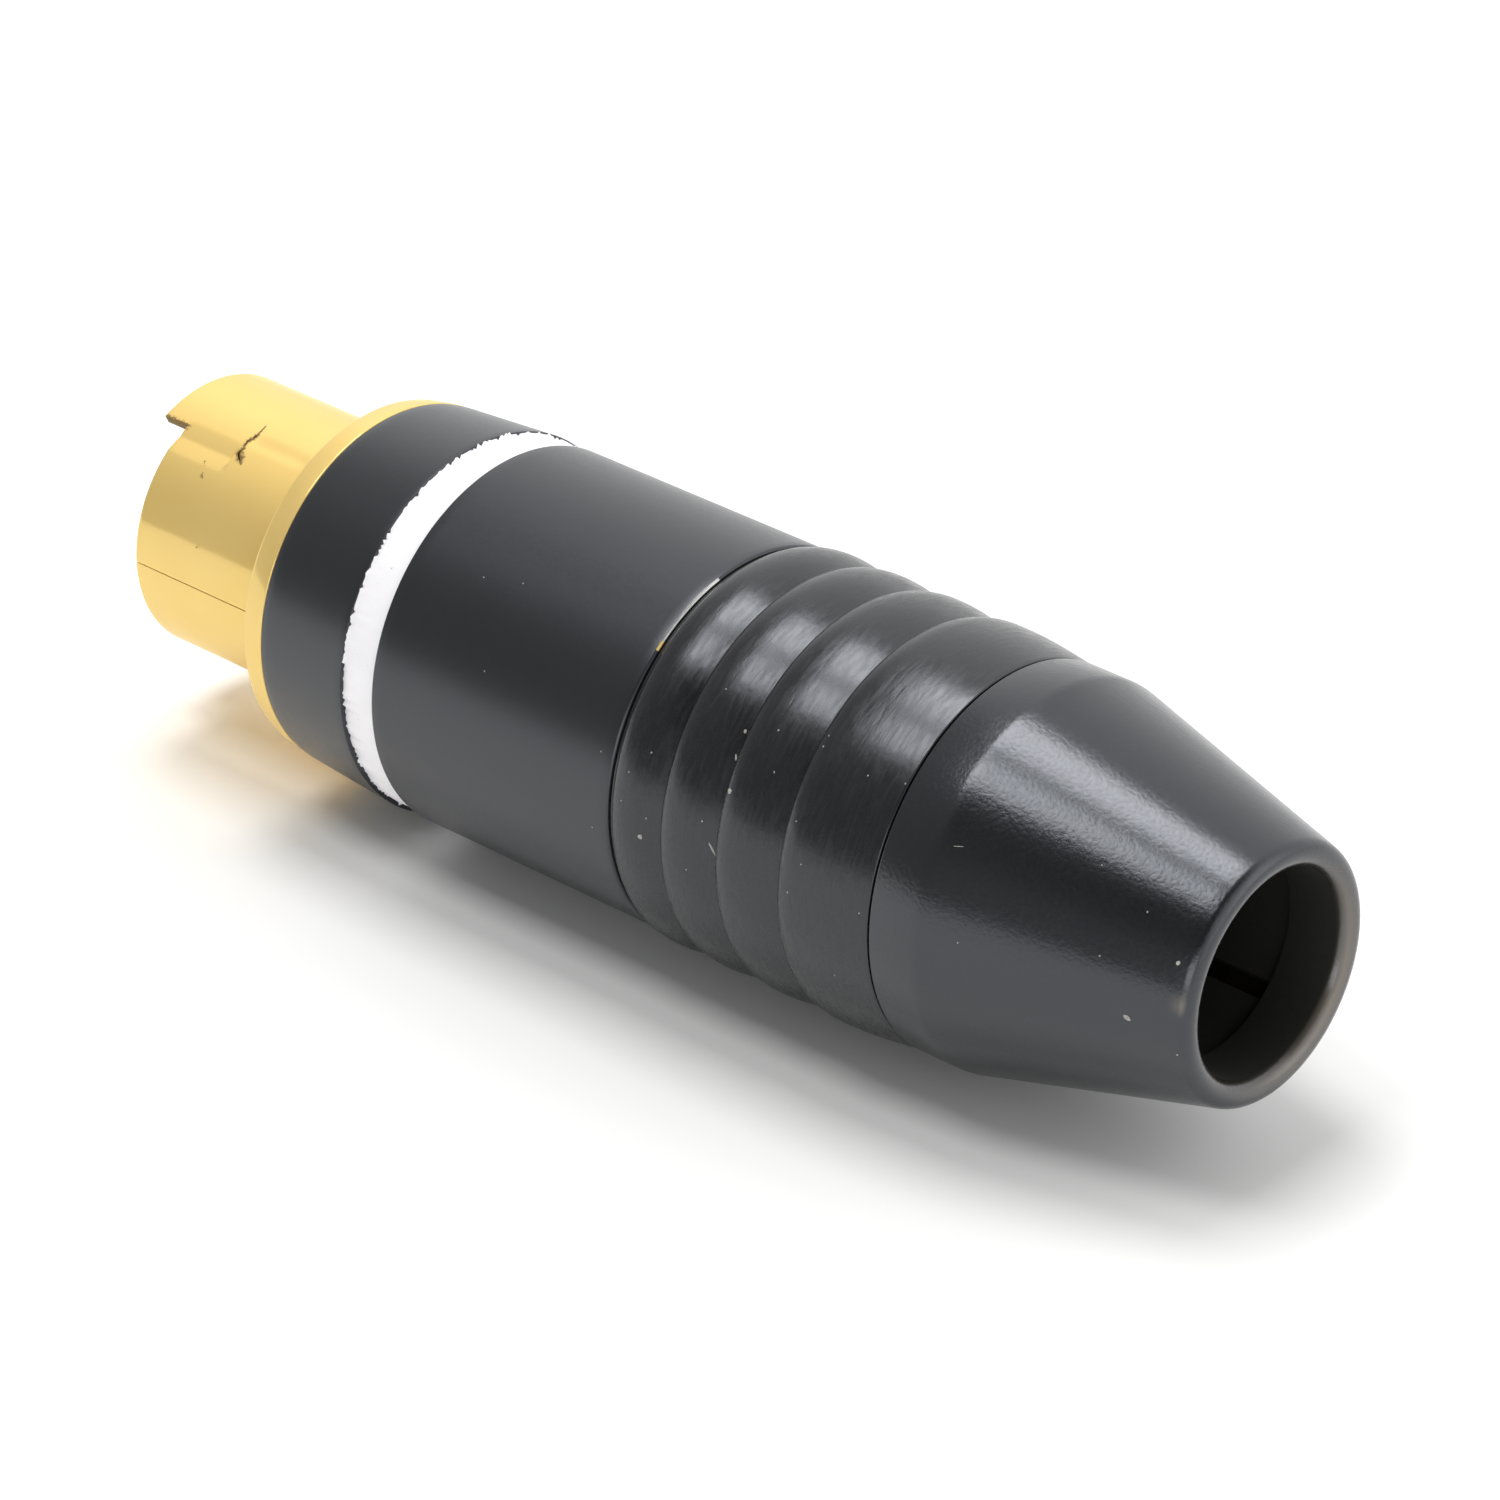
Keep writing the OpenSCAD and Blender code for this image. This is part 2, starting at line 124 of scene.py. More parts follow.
def turned(name, outline, steps=256, closed=True):
    """A piece turned on the X axis from an outline in mm: the x, radius and rounding of each corner."""
    bpy.ops.object.select_all(action="DESELECT")
    bpy.ops.mesh.primitive_plane_add(size=MM, location=(outline[0][0] * MM, 0, outline[0][1] * MM))
    piece = bpy.context.object
    piece.name = piece.data.name = name
    bpy.ops.object.transform_apply(location=True, rotation=True, scale=True)
    bpy.ops.object.mode_set(mode="EDIT")
    bpy.ops.mesh.select_mode(type="VERT")
    bpy.ops.mesh.select_all(action="SELECT")
    bpy.ops.mesh.merge(type="CENTER")
    for (x0, r0, _), (x1, r1, _) in zip(outline, outline[1:]):
        step = ((x1 - x0) * MM, 0, (r1 - r0) * MM)
        bpy.ops.mesh.extrude_region_move(TRANSFORM_OT_translate={"value": step})
    if closed:
        ends = [Vector((x, 0, r)) for x, r, _ in (outline[0], outline[-1])]
        pick(piece, lambda p: min((p - end).length for end in ends) < SAME_POINT)
        bpy.ops.mesh.edge_face_add()
    for x, r, rounding in outline:
        if rounding:
            corner = Vector((x, 0, r))
            pick(piece, lambda p: (p - corner).length < SAME_POINT)
            bpy.ops.mesh.bevel(affect="VERTICES", offset=rounding * MM, segments=4)
    bpy.ops.mesh.select_all(action="SELECT")
    bpy.ops.mesh.spin(steps=steps, angle=2 * math.pi, center=(0, 0, 0), axis=(1, 0, 0))
    bpy.ops.mesh.select_all(action="SELECT")
    bpy.ops.mesh.remove_doubles(threshold=0.0005 * MM)
    bpy.ops.mesh.normals_make_consistent(inside=False)
    bpy.ops.object.mode_set(mode="OBJECT")
    bpy.ops.object.shade_smooth_by_angle(angle=SMOOTH_ANGLE)
    return piece


def take(piece):
    """Makes a piece the only selected one, and the active one."""
    bpy.ops.object.select_all(action="DESELECT")
    bpy.context.view_layer.objects.active = piece
    piece.select_set(True)


def combine(piece, tool, operation):
    """Cuts a tool's shape out of a piece, or joins it on, and deletes the tool."""
    take(piece)
    change = piece.modifiers.new(operation, "BOOLEAN")
    change.object = tool
    change.operation = operation
    change.solver = "MANIFOLD"
    bpy.ops.object.modifier_apply(modifier=change.name)
    bpy.ops.object.shade_smooth_by_angle(angle=SMOOTH_ANGLE)
    bpy.data.objects.remove(tool)


def paint(piece, material):
    """Makes a material the only one of a piece."""
    piece.data.materials.clear()
    piece.data.materials.append(material)


def dress(piece, material, slot, *nodes):
    """Gives a finished piece its material, sets it on the plug and hides what it replaces. The record slot is
    not used.
    """
    paint(piece, material)
    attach(piece, "root")
    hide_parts(*nodes)


def move(piece, step):
    """Moves a whole mesh by a step in mm, with its object left at the origin."""
    take(piece)
    bpy.ops.object.mode_set(mode="EDIT")
    bpy.ops.mesh.select_all(action="SELECT")
    bpy.ops.transform.translate(value=[s * MM for s in step])
    bpy.ops.object.mode_set(mode="OBJECT")


pin_block = turned(
    "pin_block_moulding",
    [
        (BLOCK_FACE_X, 0, 0),
        (BLOCK_FACE_X, BLOCK_R, BLOCK_ROUND),
        (BLOCK_REAR_X, BLOCK_R, 0),
        (BLOCK_REAR_X, 0, 0),
    ],
    steps=128,
    closed=False,
)
for y, z in PIN_PLACES:
    hole = turned(
        "pin_hole",
        [
            (BLOCK_FACE_X - PIN_HOLE_PAST, 0, 0),
            (BLOCK_FACE_X - PIN_HOLE_PAST, PIN_HOLE_R + PIN_HOLE_PAST + PIN_HOLE_SINK, 0),
            (BLOCK_FACE_X + PIN_HOLE_SINK, PIN_HOLE_R, 0),
            (BLOCK_REAR_X + PIN_HOLE_PAST, PIN_HOLE_R, 0),
            (BLOCK_REAR_X + PIN_HOLE_PAST, 0, 0),
        ],
        steps=48,
        closed=False,
    )
    move(hole, (0, y, z))
    combine(pin_block, hole, "DIFFERENCE")
bpy.ops.object.select_all(action="DESELECT")
bpy.ops.mesh.primitive_cube_add(size=MM, location=(0, 0, 0))
key_post = bpy.context.object
bpy.ops.object.mode_set(mode="EDIT")
bpy.ops.transform.resize(value=(KEY_ROOT_X - KEY_REACH_X, KEY_T, KEY_W))
bpy.ops.transform.translate(value=((KEY_REACH_X + KEY_ROOT_X) / 2 * MM, KEY_Y * MM, 0))
pick(key_post, lambda p: p.x < BLOCK_FACE_X, "edges")
bpy.ops.mesh.bevel(offset=KEY_ROUND * MM, segments=4)
bpy.ops.object.mode_set(mode="OBJECT")
bpy.ops.object.shade_smooth_by_angle(angle=SMOOTH_ANGLE)
combine(pin_block, key_post, "UNION")

# Moulded nylon: a warm off-white, a little glossy, with the soft unevenness of a cheap mould.
nylon, tree = new_finish("moulded ivory nylon")
place = add(tree, "ShaderNodeTexCoord").outputs["Object"]
cloud = add(tree, "ShaderNodeTexNoise", {"Vector": place, "Scale": 1 / (1.2 * MM), "Detail": 3}).outputs[0]
grain = add(tree, "ShaderNodeTexNoise", {"Vector": place, "Scale": 1 / (0.12 * MM), "Detail": 2}).outputs[0]
tone = add(
    tree,
    "ShaderNodeMix",
    {0: cloud, 6: linear("#d9cfb4"), 7: linear("#e8e0c9")},
    data_type="RGBA",
).outputs[2]
gloss = add(tree, "ShaderNodeMapRange", {"Value": cloud, "To Min": 0.36, "To Max": 0.5}).outputs[0]
relief = add(tree, "ShaderNodeBump", {"Height": grain, "Strength": 0.5, "Distance": 0.006 * MM}).outputs[0]
surface = add(
    tree,
    "ShaderNodeBsdfPrincipled",
    {"Base Color": tone, "Roughness": gloss, "IOR": 1.53, "Normal": relief},
).outputs[0]
add(tree, "ShaderNodeOutputMaterial", {"Surface": surface})
dress(pin_block, nylon, "ivory_plastic", "pin_block")
for hidden in ("pin_retainer", "insulating_liner"):
    paint(frame["nodes"][hidden], nylon)

# The contacts: four turned brass pins, gold plated, each with a round tip, a collar that the retainer traps
# and a solder cup with its outer side milled open for the wire.
PIN_R, PIN_TIP_X, PIN_COLLAR_R, PIN_COLLAR_X, CUP_R = 0.5, -5.6, 0.85, 1.6, 0.7
CUP_X, CUP_END_X, CUP_BORE_R, CUP_BORE_X, CUP_OPEN_X = 2.2, 8.15, 0.45, 5.75, 6.55
TIP_STEPS, PIN_ROUND, CUP_ROUND = 8, 0.05, 0.04
BLOOM_SHARE, RAGGED = 0.72, 1.6

# Gold plate on turned or rolled brass: a pale mirror under a hazy bloom, with faint dents. Where the piece's
# attribute marks it, a dark brown is partly tarnish where a torn edge or a nick has lost its plating, and
# partly painted shade in the slit of the tear and under the sheared step of the rim.
gold_plate, tree = new_finish("gold plate on brass")
place = add(tree, "ShaderNodeTexCoord").outputs["Object"]
tarnish_and_shade = add(tree, "ShaderNodeAttribute", attribute_name="tarnish_and_shade").outputs["Fac"]
cloud = add(tree, "ShaderNodeTexNoise", {"Vector": place, "Scale": 1 / (2.5 * MM), "Detail": 3}).outputs[0]
dents = add(tree, "ShaderNodeTexNoise", {"Vector": place, "Scale": 1 / (0.9 * MM), "Detail": 2}).outputs[0]
specks = add(
    tree,
    "ShaderNodeTexNoise",
    {"Vector": place, "Scale": 1 / (0.09 * MM), "Detail": 2},
).outputs[0]
plate = add(
    tree,
    "ShaderNodeMix",
    {0: cloud, 6: linear("#f1d587"), 7: linear("#f6dc95")},
    data_type="RGBA",
).outputs[2]
brown = add(
    tree,
    "ShaderNodeMix",
    {0: specks, 6: linear("#4a3618"), 7: linear("#94763a")},
    data_type="RGBA",
).outputs[2]
ragged = add(tree, "ShaderNodeMath", {0: specks, 1: -0.5}, operation="ADD").outputs[0]
spread = add(
    tree,
    "ShaderNodeMath",
    {0: ragged, 1: RAGGED, 2: tarnish_and_shade},
    operation="MULTIPLY_ADD",
).outputs[0]
tarnish_and_shade_mask = add(tree, "ShaderNodeMapRange", {"Value": spread, "From Min": 0.4, "From Max": 0.8}).outputs[0]
haze = add(tree, "ShaderNodeMapRange", {"Value": cloud, "To Min": 0.08, "To Max": 0.14}).outputs[0]
relief = add(tree, "ShaderNodeBump", {"Height": dents, "Strength": 0.6, "Distance": 0.012 * MM}).outputs[0]
mirror = add(
    tree,
    "ShaderNodeBsdfPrincipled",
    {"Base Color": plate, "Metallic": 1.0, "Roughness": haze, "Normal": relief},
).outputs[0]
bloom = add(
    tree,
    "ShaderNodeBsdfPrincipled",
    {"Base Color": plate, "Metallic": 1.0, "Roughness": 0.7, "Normal": relief},
).outputs[0]
tarnish_and_shade_surface = add(
    tree,
    "ShaderNodeBsdfPrincipled",
    {"Base Color": brown, "Metallic": 0.3, "Roughness": 0.6},
).outputs[0]
plated = add(tree, "ShaderNodeMixShader", {0: BLOOM_SHARE, 1: mirror, 2: bloom}).outputs[0]
surface = add(tree, "ShaderNodeMixShader", {0: tarnish_and_shade_mask, 1: plated, 2: tarnish_and_shade_surface}).outputs[0]
add(tree, "ShaderNodeOutputMaterial", {"Surface": surface})

tip = [
    (PIN_TIP_X + PIN_R * (1 - math.cos(turn)), PIN_R * math.sin(turn), 0)
    for turn in (math.pi / 2 * k / TIP_STEPS for k in range(TIP_STEPS + 1))
]
first_pin = turned(
    "contact_pin",
    tip
    + [
        (PIN_COLLAR_X, PIN_R, 0),
        (PIN_COLLAR_X, PIN_COLLAR_R, PIN_ROUND),
        (CUP_X, PIN_COLLAR_R, PIN_ROUND),
        (CUP_X, CUP_R, 0),
        (CUP_END_X, CUP_R, CUP_ROUND),
        (CUP_END_X, CUP_BORE_R, CUP_ROUND),
        (CUP_BORE_X, CUP_BORE_R, PIN_ROUND),
        (CUP_BORE_X, 0, 0),
    ],
    steps=48,
    closed=False,
)
for number, (y, z) in enumerate(PIN_PLACES, start=1):
    pin = first_pin.copy()
    pin.data = first_pin.data.copy()
    pin.name = pin.data.name = f"contact_{number}"
    bpy.context.scene.collection.objects.link(pin)
    bpy.ops.object.select_all(action="DESELECT")
    bpy.ops.mesh.primitive_cube_add(size=MM)
    milled_side = bpy.context.object
    bpy.ops.object.mode_set(mode="EDIT")
    bpy.ops.transform.resize(value=(CUP_END_X, 4 * CUP_R, 2 * CUP_R))
    outward = math.copysign(CUP_R, z)
    bpy.ops.transform.translate(value=((CUP_OPEN_X + CUP_END_X / 2) * MM, 0, outward * MM))
    bpy.ops.object.mode_set(mode="OBJECT")
    combine(pin, milled_side, "DIFFERENCE")
    move(pin, (0, y, z))
    dress(pin, gold_plate, "gold_plate", f"contact_pin_{number}")
bpy.data.objects.remove(first_pin)

# The shield halves: two pressed steel shells, tin plated, that close round the solder joints. The lower one
# has the wings that fold over the cable.
# Tin plate on pressed sheet is a soft grey mirror with rolling marks along the strip.
tin_plate, tree = new_finish("tin plate on pressed steel")
place = add(tree, "ShaderNodeTexCoord").outputs["Object"]
along = add(tree, "ShaderNodeMapping", {"Vector": place, "Scale": (0.1, 1, 1)}).outputs[0]
rolling = add(
    tree,
    "ShaderNodeTexNoise",
    {"Vector": along, "Scale": 1 / (0.08 * MM), "Detail": 3},
).outputs[0]
tone = add(
    tree,
    "ShaderNodeMix",
    {0: rolling, 6: linear("#b9b8b4"), 7: linear("#d2d1cc")},
    data_type="RGBA",
).outputs[2]
haze = add(tree, "ShaderNodeMapRange", {"Value": rolling, "To Min": 0.24, "To Max": 0.4}).outputs[0]
relief = add(
    tree,
    "ShaderNodeBump",
    {"Height": rolling, "Strength": 0.4, "Distance": 0.004 * MM},
).outputs[0]
surface = add(
    tree,
    "ShaderNodeBsdfPrincipled",
    {"Base Color": tone, "Metallic": 1.0, "Roughness": haze, "Normal": relief},
).outputs[0]
add(tree, "ShaderNodeOutputMaterial", {"Surface": surface})
for half in ("upper_shield_half", "lower_shield_half"):
    paint(frame["nodes"][half], tin_plate)

# The skirt: brass sheet rolled round until its edges nearly meet at a seam, with three keyways pressed in
# from outside and a stepped rim, then gold plated. Its joggled root is pushed into the shoulder.
# The upper keyway has torn the sheet across its blind end.
SKIRT_R, SKIRT_WALL, LONG_RIM_X, SHORT_RIM_X = 4.5, 0.3, -7.47, -6.45
ROOT_R, ROOT_END_X, JOGGLE = 4.32, 1.0, 0.1
SKIRT_STEPS, SKIRT_ROWS = 360, 75
SHORT_RIM_HALF_ANGLE, HELD_RIM_ANGLE, SEAM_ANGLE = 63, 80, 1
KEYWAY_ANGLES, KEYWAY_END_X = (57.5, 180, 302.5), -4.0
# Each keyway's presses, as where along the axis it starts, its depth, its spread in mm and its falloff
PRESSES = [(-8, 0.11, 0.6, "LINEAR"), (-5.4, 0.04, 1.0, "LINEAR"), (-8, 0.1, 0.25, "SMOOTH")]
SEAM_CLOSED = 0.04
FOLD_X, FOLD_END_X, FOLD_ANGLE, FOLD_DEPTH, FOLD_SPREAD = -3.6, -1.5, 69, 0.04, 0.4
SKIRT_EDGE_ROUND, SKIRT_EDGE_ANGLE, SKIRT_SMOOTH_ANGLE = 0.03, math.radians(60), math.radians(35)
# The tear, as points of x in mm, angle from the seam in degrees and half of its width in mm
TEAR = [
    (-3.95, 78.6, 0.005),
    (-3.9, 75.0, 0.012),
    (-3.86, 72.2, 0.014),
    (-3.88, 70.9, 0.08),
    (-3.92, 69.2, 0.012),
    (-3.98, 67.4, 0.1),
    (-3.94, 65.8, 0.012),
    (-3.88, 63.4, 0.012),
    (-3.9, 61.2, 0.13),
    (-3.74, 59.4, 0.13),
    (-3.57, 57.6, 0.015),
]
# The last two are reaches in mm of dark brown marks: round the tear, partly tarnish and partly painted shade
# in its  slit; along the rim's step, painted shade under its sheared edge.
TEAR_CUT, TEAR_TARNISH_AND_SHADE, STEP_SHADE = 0.32, 0.03, 0.12
# Nicks that have lost their plating, as x and angle of both ends and a width in mm
NICKS = [
    (-4.93, 52.7, -4.8, 50.2, 0.035),
    (-4.68, 46.4, -4.63, 45.4, 0.055),
    (-3.78, 18.4, -3.74, 17.8, 0.05),
]


def seam_angle(point):
    """Angle of a point round the plug's axis, in degrees from the seam at the front towards the top."""
    return math.degrees(math.atan2(point.z, -point.y))


def on_skirt(x, angle, r):
    """A point in mm by its place along the axis, its angle from the seam and its radius."""
    return Vector((x, -r * math.cos(math.radians(angle)), r * math.sin(math.radians(angle))))


def rows(start, end, count):
    """An outline's points in even rows from one corner to another, both ends included."""
    (x0, r0), (x1, r1) = start, end
    return [(x0 + (x1 - x0) * k / count, r0 + (r1 - r0) * k / count, 0) for k in range(count + 1)]


def held(point):
    """Whether a place on the sheet is held as it was rolled while the keyways are pressed."""
    beside_step = SHORT_RIM_HALF_ANGLE <= abs(seam_angle(point)) < HELD_RIM_ANGLE
    return point.x > KEYWAY_END_X or point.x < SHORT_RIM_X and beside_step


def press(angle, depth, spread, falloff):
    """Presses the picked points of the sheet inwards, and what lies within the spread of them."""
    bpy.ops.transform.translate(
        value=-on_skirt(0, angle, depth) * MM,
        use_proportional_edit=True,
        proportional_edit_falloff=falloff,
        proportional_size=spread * MM,
        use_proportional_connected=True,
    )


skirt = turned(
    "skirt_sheet",
    rows((LONG_RIM_X, SKIRT_R), (0, SKIRT_R), SKIRT_ROWS)
    + [(JOGGLE, ROOT_R, 0), (ROOT_END_X, ROOT_R, 0)],
    steps=SKIRT_STEPS,
    closed=False,
)
bpy.ops.object.mode_set(mode="EDIT")
half_step = 180 / SKIRT_STEPS
pick(skirt, lambda p: -SEAM_ANGLE < seam_angle(p) < 0, "faces")
bpy.ops.mesh.delete(type="FACE")
pick(skirt, lambda p: abs(seam_angle(p) + SEAM_ANGLE) < half_step)
bpy.ops.transform.translate(value=(0, 0, SEAM_CLOSED * MM))
pick(skirt, held)
bpy.ops.mesh.hide(unselected=False)
for angle in KEYWAY_ANGLES:
    for start_x, depth, spread, falloff in PRESSES:
        pick(skirt, lambda p: p.x > start_x and abs((seam_angle(p) - angle + 180) % 360 - 180) < half_step)
        press(angle, depth, spread, falloff)
bpy.ops.mesh.reveal(select=False)
pick(skirt, lambda p: p.x < SHORT_RIM_X and abs(seam_angle(p)) < SHORT_RIM_HALF_ANGLE, "faces")
bpy.ops.mesh.delete(type="FACE")
pick(skirt, lambda p: FOLD_X < p.x < FOLD_END_X and abs(seam_angle(p) - FOLD_ANGLE) < half_step)
press(FOLD_ANGLE, FOLD_DEPTH, FOLD_SPREAD, "SMOOTH")
bpy.ops.object.mode_set(mode="OBJECT")
sheet = skirt.modifiers.new("sheet", "SOLIDIFY")
sheet.thickness = SKIRT_WALL * MM
sheet.offset = -1
sheet.use_even_offset = True
bpy.ops.object.modifier_apply(modifier=sheet.name)
edges = skirt.modifiers.new("broken edges", "BEVEL")
edges.width = SKIRT_EDGE_ROUND * MM
edges.segments = 2
edges.limit_method = "ANGLE"
edges.angle_limit = SKIRT_EDGE_ANGLE
bpy.ops.object.modifier_apply(modifier=edges.name)

bpy.ops.object.select_all(action="DESELECT")
bpy.ops.mesh.primitive_circle_add(vertices=2 * len(TEAR), radius=MM, fill_type="NGON")
blade = bpy.context.object
rim = [(x, angle, -half) for x, angle, half in TEAR] + [(x, angle, half) for x, angle, half in reversed(TEAR)]
for vertex, (x, angle, half) in zip(blade.data.vertices, rim):
    vertex.co = on_skirt(x + TEAR_CUT * half, angle, SKIRT_R + SKIRT_WALL) * MM
bpy.ops.object.mode_set(mode="EDIT")
bpy.ops.mesh.select_all(action="SELECT")
middle_angle = sum(angle for _, angle, _ in TEAR) / len(TEAR)
bpy.ops.mesh.extrude_region_move(
    TRANSFORM_OT_translate={"value": -on_skirt(0, middle_angle, 4 * SKIRT_WALL) * MM}
)
bpy.ops.mesh.select_all(action="SELECT")
bpy.ops.mesh.normals_make_consistent(inside=False)
bpy.ops.mesh.quads_convert_to_tris()
bpy.ops.object.mode_set(mode="OBJECT")
combine(skirt, blade, "DIFFERENCE")
bpy.ops.object.shade_smooth_by_angle(angle=SKIRT_SMOOTH_ANGLE)


def near_line(point, start, end):
    """How far a point lies from a straight stretch, in mm."""
    along = max(0, min(1, (point - start).dot(end - start) / (end - start).length_squared))
    return (start + (end - start) * along - point).length


# The dark brown marks, each a stretch and its reach: the tear, partly tarnish on its torn edges and partly
# painted  shade in its slit; the rim's step, painted shade under its sheared edge; and the nicks, bare of
# plating.
marks = [
    (on_skirt(x0, a0, SKIRT_R), on_skirt(x1, a1, SKIRT_R), TEAR_TARNISH_AND_SHADE + (w0 + w1) / 2)
    for (x0, a0, w0), (x1, a1, w1) in zip(TEAR, TEAR[1:])
]
marks.append(
    (
        on_skirt(LONG_RIM_X, SHORT_RIM_HALF_ANGLE, SKIRT_R),
        on_skirt(SHORT_RIM_X, SHORT_RIM_HALF_ANGLE, SKIRT_R),
        STEP_SHADE,
    )
)
for x0, a0, x1, a1, width in NICKS:
    marks.append((on_skirt(x0, a0, SKIRT_R), on_skirt(x1, a1, SKIRT_R), width))
tarnish_and_shade = skirt.data.attributes.new("tarnish_and_shade", "FLOAT", "POINT")
for vertex, level in zip(skirt.data.vertices, tarnish_and_shade.data):
    point = vertex.co / MM
    flat = on_skirt(point.x, seam_angle(point), SKIRT_R)
    level.value = max(max(0, 1 - near_line(flat, start, end) / reach / 2) for start, end, reach in marks)
dress(skirt, gold_plate, "gold_plate", "skirt_shell")

# The shoulder: a turned brass flange with a hollow spigot behind it, gold plated. It stops the plug at the
# socket, and the collar, the white ring and the core tube sit on its spigot.
SHOULDER_FRONT_R, SHOULDER_REAR_R, SHOULDER_W = 6.0, 6.17, 1.0
SPIGOT_R, SPIGOT_BORE_R, SPIGOT_END_X = 5.15, 4.3, 9.0
SEAT_R, SEAT_END_X = 4.35, 1.06
SEAT_ROUND, SHOULDER_FRONT_ROUND, SHOULDER_REAR_ROUND, SPIGOT_ROUND = 0.05, 0.18, 0.06, 0.1

shoulder = turned(
    "shoulder_flange",
    [
        (0, SEAT_R, SEAT_ROUND),
        (0, SHOULDER_FRONT_R, SHOULDER_FRONT_ROUND),
        (SHOULDER_W, SHOULDER_REAR_R, SHOULDER_REAR_ROUND),
        (SHOULDER_W, SPIGOT_R, 0),
        (SPIGOT_END_X, SPIGOT_R, SPIGOT_ROUND),
        (SPIGOT_END_X, SPIGOT_BORE_R, SPIGOT_ROUND),
        (SEAT_END_X, SPIGOT_BORE_R, 0),
        (SEAT_END_X, SEAT_R, 0),
    ],
    steps=360,
)
dress(shoulder, gold_plate, "gold_plate", "nose_ferrule")
paint(frame["nodes"]["core_tube"], gold_plate)

# The front collar: a short tapered ring of turned aluminium, sprayed satin black. It is pushed on the
# spigot until it meets the shoulder, a little lower there than the shoulder's own rim.
COLLAR_X, COLLAR_END_X, COLLAR_FRONT_R, COLLAR_REAR_R, COLLAR_BORE_R = 1.0, 4.85, 6.17, 6.44, 5.18
COLLAR_SINK, COLLAR_FRONT_ROUND, COLLAR_REAR_ROUND = 0.02, 0.05, 0.03
COLLAR_ROWS, SLEEVE_STEPS = 12, 480


def black_paint(name, smooth, rough, peel_depth):
    """Sprayed black paint between two roughnesses, with orange peel of that depth in mm, and brown scuffs and
    paler patches where the piece marks them.
    """
    material, tree = new_finish(name)
    place = add(tree, "ShaderNodeTexCoord").outputs["Object"]
    scuff_and_pale_lip = add(tree, "ShaderNodeAttribute", attribute_name="scuff_and_pale_lip").outputs["Fac"]
    cloud = add(
        tree,
        "ShaderNodeTexNoise",
        {"Vector": place, "Scale": 1 / (3 * MM), "Detail": 3},
    ).outputs[0]
    peel = add(
        tree,
        "ShaderNodeTexNoise",
        {"Vector": place, "Scale": 1 / (0.13 * MM), "Detail": 4},
    ).outputs[0]
    tones = {0: cloud, 6: linear("#141517"), 7: linear("#1a1b1d")}
    tone = add(tree, "ShaderNodeMix", tones, data_type="RGBA").outputs[2]
    marked = add(
        tree,
        "ShaderNodeMix",
        {0: scuff_and_pale_lip, 6: tone, 7: linear("#7d7467")},
        data_type="RGBA",
    ).outputs[2]
    gloss = add(tree, "ShaderNodeMapRange", {"Value": peel, "To Min": smooth, "To Max": rough}).outputs[0]
    relief = add(
        tree,
        "ShaderNodeBump",
        {"Height": peel, "Strength": 1.0, "Distance": peel_depth * MM},
    ).outputs[0]
    surface = add(
        tree,
        "ShaderNodeBsdfPrincipled",
        {
            "Base Color": marked,
            "Roughness": gloss,
            "IOR": 1.7,
            # The specular tint paints a faint blue into the reflections, standing in for bluish light from
            # the lamps and the room.
            "Specular Tint": linear("#f2f6ff"),
            "Normal": relief,
        },
    ).outputs[0]
    add(tree, "ShaderNodeOutputMaterial", {"Surface": surface})
    return material


# Satin black paint on the sleeves: nearly black, with a soft broad sheen and hardly any orange peel.
satin_paint = black_paint("satin black paint on metal", 0.26, 0.36, 0.002)

collar = turned(
    "front_collar_sleeve",
    [(COLLAR_X, COLLAR_BORE_R, 0), (COLLAR_X, COLLAR_FRONT_R - COLLAR_SINK, COLLAR_FRONT_ROUND)]
    + rows((COLLAR_X, COLLAR_FRONT_R), (COLLAR_END_X, COLLAR_REAR_R), COLLAR_ROWS)[1:-1]
    + [(COLLAR_END_X, COLLAR_REAR_R, COLLAR_REAR_ROUND), (COLLAR_END_X, COLLAR_BORE_R, 0)],
    steps=SLEEVE_STEPS,
)
dress(collar, satin_paint, "black_paint", "front_collar")

# The marking ring: a plain ring cut from white plastic tube, clamped between the collar and the barrel and
# a little lower than both. The cut has left a ragged burr against the collar, fuller on the upper side.
RING_X, RING_END_X, RING_R, RING_ROUND, RING_CUT_W = 4.85, 6.2, 6.29, 0.05, 0.06
# Slack in mm for telling by its place which points lie on a rim
SLACK = 0.01
BURR_FROM, BURR_H, BURR_SPREAD = 10, 0.1, 0.12
# Teeth of the burr, as a seed, a share of the rim and a height in mm
BURR_TEETH = [(3, 0.2, 0.04), (5, 0.18, -0.09), (8, 0.08, 0.06)]

white_ring = turned(
    "white_marking_ring",
    [
        (RING_X, COLLAR_BORE_R, 0),
        (RING_X, RING_R, 0),
        (RING_X + RING_CUT_W, RING_R, 0),
        (RING_END_X, RING_R, RING_ROUND),
        (RING_END_X, COLLAR_BORE_R, 0),
    ],
    steps=SLEEVE_STEPS,
)
bpy.ops.object.mode_set(mode="EDIT")
pick(white_ring, lambda p: p.x < RING_X + SLACK and math.hypot(p.y, p.z) > RING_R - SLACK)
bpy.ops.mesh.hide(unselected=True)
pick(white_ring, lambda p: BURR_FROM < seam_angle(p) and p.x < RING_X + SLACK)
bpy.ops.transform.resize(
    value=(1, 1 + BURR_H / RING_R, 1 + BURR_H / RING_R), center_override=(0, 0, 0)
)
for seed, share, height in BURR_TEETH:
    bpy.ops.mesh.select_all(action="DESELECT")
    bpy.ops.mesh.select_random(ratio=share, seed=seed)
    bpy.ops.transform.resize(
        value=(1, 1 + height / RING_R, 1 + height / RING_R),
        center_override=(0, 0, 0),
        use_proportional_edit=True,
        proportional_edit_falloff="SHARP",
        proportional_size=BURR_SPREAD * MM,
    )
bpy.ops.mesh.reveal(select=False)
bpy.ops.object.mode_set(mode="OBJECT")
